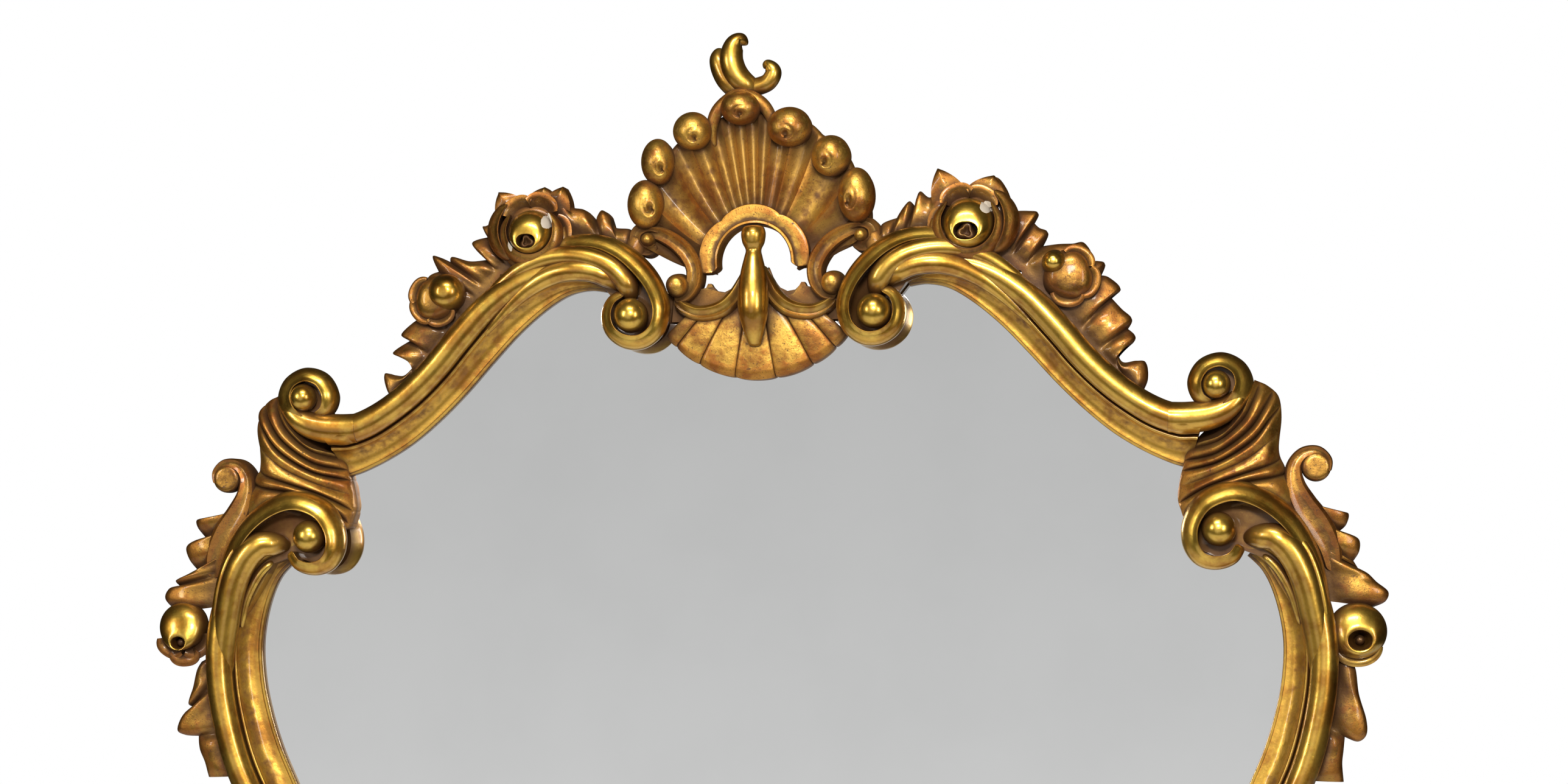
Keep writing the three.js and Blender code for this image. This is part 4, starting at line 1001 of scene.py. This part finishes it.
rose_leaves = {
    "left": [((152, 240), (143, 264), 11), ((160, 246), (157, 264), 12), ((178, 240), (192, 261), 12)],
    "right": [((148, 238), (135, 270), 13), ((166, 240), (176, 264), 15)],
}
bud_forms = {
    "left": {"ball": (231, 187), "size": 14, "husk": (240, 182), "wide": 17, "cups": (-40, 30, -110)},
    "right": {"ball": (219, 200), "size": 9, "husk": (230, 190), "wide": 19, "cups": (-20, -95, 60)},
}


def bud(hand):
    """A closed ball in a husk of three cupped petals."""
    form = bud_forms[hand]
    size, wide = form["size"], form["wide"]
    rings = [[size * 0.9, 8, 0, 0], [size, 18, 0, 0.02], [size * 0.95, 26, 0, 0.03],
             [size * 0.7, 32.5, 0, 0.03], [size * 0.35, 35.6, 0, 0.02], [0, 36.2, 0, 0]]
    husk_rings = [[wide * 0.8, 1.6, 0, 0], [wide, 12, 0, 0.03], [wide * 0.98, 20, 0, 0.05],
                  [wide * 0.8, 26, 0, 0.05], [wide * 0.5, 29, 0, 0.03], [0, 30, 0, 0]]
    cups = [petal(form["husk"], turn, 42, 8, wide + 4, 14, 27, 3.0) for turn in form["cups"]]
    husk = dome(form["husk"], husk_rings, petals=3, spiral=0.1)
    return [dome(form["ball"], rings, around=60, petals=2, spiral=0.2),
            *[(one, whole_skin) for one in (husk, *cups)]]


for hand, side in sides.items():
    leaves = [pointed(root, tip, wide, 16, 20) for root, tip, wide in rose_leaves[hand]]
    toned_leaves = [(leaf, whole_skin) for leaf in leaves]
    carve(f"rose_bloom_{hand}", rose(hand), head(side), burnished,
          replaces=[f"rose_{hand}"], second=toned, chips=rose_forms[hand]["chips"])
    carve(f"rose_leaves_{hand}", leaves, head(side), toned)
    carve(f"foot_rose_{hand}", rose(hand) + toned_leaves, foot(side), burnished,
          replaces=[f"lower_rose_{hand}"], second=toned)
    carve(f"bud_bloom_{hand}", bud(hand), head(side), burnished,
          replaces=[f"bud_{hand}"], second=toned)

# ---------- leaf borders ----------
# Ragged acanthus runs along the outside of the rails. Each leaf springs from the roll, with a keel to each
# tip and a sharp notch between, and is toned nearly brown.
inner_stalk = [[96, 216], [108, 222], [124, 226], [142, 228]]
inner_edges = {
    "left": [[90, 226, 8], [94, 232, 13], [106, 234, 10], [109, 242, 16], [115, 246.5, 17],
             [119, 242, 15], [120, 239, 9], [128, 247, 16], [139, 250, 17], [150, 262, 17],
             [158, 256, 9]],
    "right": [[90, 226, 8], [94, 232, 13], [104, 236, 9], [109, 243, 16], [114, 247.5, 17], [118, 243, 9],
              [119, 250, 16], [122, 254.5, 17], [129, 250, 15], [138, 258, 16], [158, 258, 9]],
}
outer_stalk = [[172, 216], [190, 207], [208, 190], [222, 172], [240, 150], [256, 132], [268, 118], [274, 106]]
outer_edges = {
    "left": [
        [180, 252, 16], [190, 254, 17], [198, 240, 9], [203, 237, 17], [206, 236, 16], [203, 229, 9],
        [214, 224, 18], [204, 212, 9], [216, 211, 14], [229, 214.5, 17], [232, 211, 9], [244, 215.5, 18],
        [241, 204, 9], [248, 200, 14], [254, 188, 16], [256, 186, 9], [262, 182, 18], [252, 171, 9],
        [260, 166, 15], [269, 157, 17], [263, 153, 9], [275.5, 143.5, 18], [266, 140, 14], [257, 137, 9],
        [266, 127, 14], [275, 127, 15], [282, 128, 17], [281, 118, 14], [276, 107, 9],
    ],
    "right": [
        [164, 256, 14], [176, 263.5, 18], [184, 256, 17], [190, 239, 9], [200, 238.5, 15], [207, 237, 18],
        [204, 230, 9], [208, 226, 15], [214, 222.5, 18], [210, 213, 9], [222, 214, 14], [232, 214, 16],
        [240, 214.5, 18], [246, 206, 15], [244, 201, 9], [250, 201, 16], [255, 199, 18], [252, 191, 9],
        [258, 189, 15], [266, 181, 18], [259, 175, 9], [267, 166, 16], [274, 159, 18], [271, 152, 9],
        [276.5, 146, 18], [272, 140, 16], [262, 139, 9], [267, 128, 14], [277, 128.5, 16], [284, 127, 17],
        [285, 115, 15], [280, 104, 9],
    ],
}
notch_level = 9.5


leaf_steps = 9  # places between two rows of a leaf edge
leaf_sweep = 0.1  # how far a leaf leans back along its stalk


def leaf_border(stalk, edge, base=0.8, root_level=17.0, swell=3.4):
    """Leaves between a stalk and a ragged edge of x, z, height rows: rows at or under the notch level are
    sharp notches, and the others lie on a smooth curve. The edge lies at 7.7 + 0.45 * height, the surface
    swells between, a groove of depth 2 * |cos(pi w)|^14 runs in from each notch and a keel of
    0.6 * sin(2 pi w)^2 stands to each side of it, w counting across a leaf."""
    edge = np.asarray(edge, float)
    cuts = [0, *[i for i in range(1, len(edge) - 1) if edge[i, 2] <= notch_level], len(edge) - 1]
    rim, phase = [], []
    for a, b in zip(cuts, cuts[1:]):
        run = np.linspace(0, 1, (b - a) * leaf_steps, endpoint=False)
        rim.append(smooth(edge[a:b + 1], run))
        phase.append(run)
    rim = np.concatenate([*rim, edge[-1:]])
    phase = np.concatenate([*phase, [1.0]])
    place = np.linspace(0, 1, len(rim))
    root = smooth(stalk, place - leaf_sweep * np.sin(np.pi * place))
    v = np.linspace(-0.35, 1, 21)[None, :, None]
    flat = root[:, None, :] * (1 - v) + rim[:, None, :2] * v
    groove = np.abs(np.cos(np.pi * phase)) ** 14
    keel = np.abs(np.sin(2 * np.pi * phase)) ** 2
    t = np.maximum(v[..., 0], 0)
    height = root_level * (1 - t) + (7.7 + 0.45 * rim[:, 2:3]) * t
    groove_run = np.sin(np.pi * np.clip(t * 0.9, 0, 1)) ** 0.7
    height = height + swell * np.sin(np.pi * t) - 2.0 * groove[:, None] * groove_run
    height = height + 0.6 * keel[:, None] * np.sin(np.pi * t) - 2.6 * np.clip((t - 0.9) / 0.1, 0, 1) ** 2
    top = np.concatenate([flat, height[..., None]], -1)
    back = top[:, [-1, 0]].copy()
    back[..., 2] = base
    return np.concatenate([top, back], 1)


waist_run = (0.3, 0.6)
waist_leaves = 7


def waist_border():
    """Seven leaves hung on the outer wall of a stile: the edge stands 3 + 16 * swell mm off it at each tip
    and 3 + 3.2 * swell at each notch, the swell rising from both ends of the run to its middle."""
    count = waist_leaves * 20 + 1
    place = np.linspace(*waist_run, count)
    read = smooth(stile_rows, place)
    step = beside(read[:, :2])
    w = np.linspace(0, waist_leaves, count)
    phase = w % 1.0
    full = np.sin(np.pi * np.linspace(0, 1, count))
    tip = np.sin(np.pi * phase ** 1.5) ** 0.8
    wall = (read[:, 2] + read[:, 3])[:, None]
    out = wall + (3 + 16 * full * (0.2 + 0.8 * tip))[:, None]
    v = np.linspace(0, 1, 15)[None, :]
    across = (wall - 5) * (1 - v) + out * v
    height = 15 * (1 - v) + (11 + 5 * tip[:, None]) * v + 3 * np.sin(np.pi * v)
    height = height - 3 * (np.abs(np.cos(np.pi * phase)) ** 6)[:, None] * np.sin(np.pi * v) ** 0.7
    height = height - 2.4 * np.clip((v - 0.9) / 0.1, 0, 1) ** 2
    top = np.concatenate([read[:, None, :2] + step[:, None, :] * across[..., None], height[..., None]], -1)
    back = top[:, [-1, 0]].copy()
    back[..., 2] = 2
    return np.concatenate([top, back], 1)


for hand, side in sides.items():
    carve(f"leaves_inner_{hand}", [leaf_border(inner_stalk, inner_edges[hand])], head(side), toned,
          replaces=[f"inner_leaves_{hand}"])
    carve(f"leaves_outer_{hand}", [leaf_border(outer_stalk, outer_edges[hand])], head(side), toned,
          replaces=[f"outer_leaves_{hand}"])
    carve(f"leaves_foot_{hand}", [leaf_border(outer_stalk, outer_edges[hand])], foot(side), toned,
          replaces=[f"lower_leaves_{hand}"])
    carve(f"leaves_waist_{hand}", [waist_border()], head(side), toned,
          replaces=[f"waist_leaves_{hand}"])

# ---------- side leaf scrolls and blossoms ----------
# At the widest points a thin leaf curls up into a flat disc, and under it hangs a blossom with a ball in its
# mouth and a long drooping leaf. They are carved in one with the outside of the stile.
disc_rows = [
    [416, -24, 15, 6], [413, -7, 17, 9], [405, 9, 19, 10.5], [395, 24, 20, 9.6], [389, 38, 20, 7.4],
    [388.5, 51, 19, 5.6], [395, 60, 18, 4.6], [405, 61.5, 18, 4], [411.5, 55, 18, 4], [411, 47, 18, 3.6],
]
disc_rings = [[9.5, 3, 0, 0], [10.5, 8, 0, 0], [10.5, 16, 0, 0], [9.6, 19, 0, 0], [7.5, 20.2, 0, 0],
              [4, 20.4, 0, 0], [0, 20.4, 0, 0]]
leaf_profile = [(-1, -3), (-0.92, 0), (-0.7, 1.6), (-0.35, 0.8), (0, 0.2), (0.4, 0.8), (0.75, 1.8),
                (0.95, 0), (1, -3)]
scroll_stalk = [[386, 40], [390, 24], [399, 8], [407, -8], [412, -26], [415, -46]]
scroll_edges = {
    "left": [[396, 40, 9], [399, 30, 13], [408, 21, 14], [420, 20, 16], [429, 20, 18], [429, 14, 16],
             [423, 5, 9], [432, 4, 15], [438, -1, 17], [436, -10, 15], [430, -19, 9], [440, -23, 15],
             [446.5, -26, 17], [445, -30, 9], [452, -32, 15], [455, -40, 16], [447, -50, 9]],
    "right": [[396, 40, 9], [399, 30, 13], [407, 21, 14], [418, 18, 16], [426.5, 17, 18], [425, 9, 16],
              [420, 4, 9], [428, 2, 15], [434, -2, 17], [434, -10, 15], [430, -17, 9], [433, -22, 9],
              [440, -26, 16], [446, -32, 15], [454, -39, 17], [452, -46, 15], [444, -50, 9]],
}
stem_stalk = [[419, -84], [415, -100], [411, -125], [404, -150], [397, -174]]
stem_edges = {
    "left": [[428, -88, 9], [431, -95, 13], [434, -108, 15], [437.5, -119, 16], [434, -122, 9],
             [442, -128, 16], [446, -139, 18], [440, -143, 16], [431, -144, 9], [429, -154, 14],
             [425, -164, 14], [423, -175, 10]],
    "right": [[428, -88, 9], [431, -95, 15], [433, -112, 17], [438, -130, 18], [438, -141, 18],
              [432, -146, 16], [423, -143, 9], [422, -152, 13], [421, -162, 13], [422, -175, 10]],
}
blossom_forms = {
    "left": {"at": (439, -60), "wide": 18, "lean": (0.5, -12.5), "mouth": 0.27, "dull": True,
             "lips": [(-130, 36, 28), (-58, 32, 27), (-94, 30, 31)]},
    "right": {"at": (432, -67), "wide": 20.5, "lean": (1.5, -6), "mouth": 0.37, "dull": False,
              "lips": [(-90, 58, 25.5)]},
}


def blossom(hand):
    """A bell of one round petal with an oval mouth low on its front and a seed in it, over hanging lips."""
    form = blossom_forms[hand]
    x, z = form["at"]
    wide, mouth = form["wide"], form["mouth"]
    bell = [[wide * 0.75, 4, 0, 0], [wide * 0.97, 10, 0, 0], [wide, 16, 0, 0.02],
            [wide * 0.93, 22, 0.1, 0.02], [wide * 0.76, 26.5, 0.4, 0.02],
            [wide * (0.2 + mouth), 29.3, 0.8, 0.03], [wide * (0.06 + mouth), 30, 1, 0.05],
            [wide * mouth, 28.6, 1, 0.08], [wide * mouth * 0.9, 22, 1, 0.08],
            [wide * mouth * 0.5, 16, 1, 0], [0, 15.4, 1, 0]]
    seed = dome((x + form["lean"][0], z + form["lean"][1]),
                [[2.6, 14, 0, 0], [3.4, 20, 0, 0], [2.2, 23.5, 0, 0], [0, 24.4, 0, 0]])
    lips = [petal((x, z), turn, spread, 9, reach, 11, 22, 3.0) for turn, spread, reach in form["lips"]]
    return [dome((x, z), bell, lean=form["lean"], around=72, petals=2), (seed, whole_skin),
            *[(lip, whole_skin) if form["dull"] else lip for lip in lips]]


for hand, side in sides.items():
    scroll = [band(disc_rows, leaf_profile, 2, 110, 0.04), dome((404, 50.5), disc_rings),
              leaf_border(scroll_stalk, scroll_edges[hand], 2.6, 15.0, 3.0)]
    stem = leaf_border(stem_stalk, stem_edges[hand], 3.2, 14.0, 3.0)
    carve(f"disc_scroll_{hand}", scroll, head(side), toned,
          replaces=[f"leaf_scroll_{hand}"])
    carve(f"blossom_{hand}", blossom(hand), head(side), burnished,
          replaces=[f"side_blossom_{hand}"], second=toned)
    carve(f"blossom_leaf_{hand}", [stem], head(side), toned)
    carve(f"disc_scroll_foot_{hand}", scroll, foot(side), toned,
          replaces=[f"foot_leaf_scroll_{hand}"])
    carve(f"blossom_foot_{hand}", [*blossom(hand), stem], foot(side), burnished,
          replaces=[f"foot_blossom_{hand}"], second=toned)

# ---------- glass ----------
# A 5 mm plate silvered on its back, held in the rebate by the back board. The CAD plate is kept and gets the
# finish of clean silvering.
silver = bpy.data.materials.new("silvered_glass")
silver.use_nodes = True
silver_tree = silver.node_tree
silver_surface = silver_tree.nodes["Principled BSDF"]
silver_place = wire(silver_tree, "TexCoord").outputs["Object"]
bloom = ease(silver_tree, noise(silver_tree, silver_place, 9.0), 0.35, 0.75)
silver_color = tinted(silver_tree, bloom, (0.90, 0.905, 0.90, 1), (0.87, 0.875, 0.87, 1))
silver_tree.links.new(silver_color, silver_surface.inputs["Base Color"])
silver_surface.inputs["Metallic"].default_value = 1.0
silver_surface.inputs["Roughness"].default_value = 0.015
glass_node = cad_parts["mirror_glass"]
glass_node.data.materials.clear()
glass_node.data.materials.append(silver)

# ---------- back board ----------
# Thin plywood, stained and dusty, screwed over the back of the frame. The grain runs up the board.
ply = bpy.data.materials.new("back_ply")
ply.use_nodes = True
ply_tree = ply.node_tree
ply_surface = ply_tree.nodes["Principled BSDF"]
ply_place = wire(ply_tree, "TexCoord").outputs["Object"]
ply_stretch = wire(ply_tree, "Mapping", {"Vector": ply_place, "Scale": (1.0, 1.0, 0.06)}).outputs[0]
ply_rings = wire(ply_tree, "TexWave", {"Vector": ply_stretch, "Scale": 7.0, "Distortion": 14.0, "Detail": 4.0,
                                       "Detail Scale": 1.5}, bands_direction="X").outputs[1]
ply_fibres = wire(ply_tree, "Mapping", {"Vector": ply_place, "Scale": (1.0, 1.0, 0.03)}).outputs[0]
ply_pores = noise(ply_tree, ply_fibres, 900.0)
ply_grain = figure(ply_tree, "MULTIPLY_ADD", ply_rings, 0.6, figure(ply_tree, "MULTIPLY", ply_pores, 0.5))
ply_color = tinted(ply_tree, ease(ply_tree, ply_grain, 0.2, 0.9), (0.40, 0.25, 0.125, 1),
                   (0.30, 0.175, 0.08, 1))
ply_stain = ease(ply_tree, noise(ply_tree, ply_place, 5.0), 0.45, 0.75, 0.0, 0.6)
stained = tinted(ply_tree, ply_stain, ply_color, (0.13, 0.08, 0.045, 1))
ply_tree.links.new(stained, ply_surface.inputs["Base Color"])
ply_surface.inputs["Roughness"].default_value = 0.72
ply_bump = wire(ply_tree, "Bump", {"Height": ply_grain, "Strength": 0.4, "Distance": 0.0003})
ply_tree.links.new(ply_bump.outputs["Normal"], ply_surface.inputs["Normal"])
board_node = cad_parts["backing_board"]
board_node.data.materials.clear()
board_node.data.materials.append(ply)

# ---------- hangers and screws ----------
# A D ring of bent wire turns in the rolled eye of a steel strap, screwed to the back of each shoulder. Six
# more screws hold the back board. The steel is dull, with patches of rust.
steel = bpy.data.materials.new("hanger_steel")
steel.use_nodes = True
steel_tree = steel.node_tree
steel_surface = steel_tree.nodes["Principled BSDF"]
steel_place = wire(steel_tree, "TexCoord").outputs["Object"]
rust = ease(steel_tree, noise(steel_tree, steel_place, 260.0, 6.0), 0.52, 0.68)
steel_color = tinted(steel_tree, rust, (0.42, 0.41, 0.38, 1), (0.16, 0.07, 0.03, 1))
steel_tree.links.new(steel_color, steel_surface.inputs["Base Color"])
steel_tree.links.new(figure(steel_tree, "MULTIPLY_ADD", rust, -0.8, 1.0), steel_surface.inputs["Metallic"])
steel_tree.links.new(figure(steel_tree, "MULTIPLY_ADD", rust, 0.35, 0.34), steel_surface.inputs["Roughness"])
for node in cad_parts:
    if node.startswith(("backing_screw", "hanger_screw", "hanger_strap")):
        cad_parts[node].data.materials.clear()
        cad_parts[node].data.materials.append(steel)

ring_at = (353.0, 99.0)  # the axis of the ring on the shoulder
ring_level = -3.5
ring_wire = 1.6
bar_half = 7.0 + 0.4 + ring_wire + 1.6
ring_rows = [(0, 0), (bar_half - 2.4, 0), (bar_half - 0.9, -0.35), (bar_half - 0.1, -1.6), (bar_half, -4),
             (bar_half, -8), *arc((0, -8.9), bar_half, -12, -168, 11), (-bar_half, -8), (-bar_half, -4),
             (-bar_half + 0.1, -1.6), (-bar_half + 0.9, -0.35), (-bar_half + 2.4, 0), (0, 0)]


def hanging_ring():
    """Round wire carried along the closed D, its two ends butted in the middle of the bar."""
    line = smooth(ring_rows, np.linspace(0, 1, 150)) + ring_at
    ring = arc((0, ring_level), ring_wire, 0, 350, 14)
    return carried(line, np.broadcast_to(ring, (150, 14, 2)))


for hand, side in sides.items():
    carve(f"hanging_ring_{hand}", [hanging_ring()], head(side), steel, body=f"{hand}_ring",
          replaces=[f"hanger_ring_{hand}"])
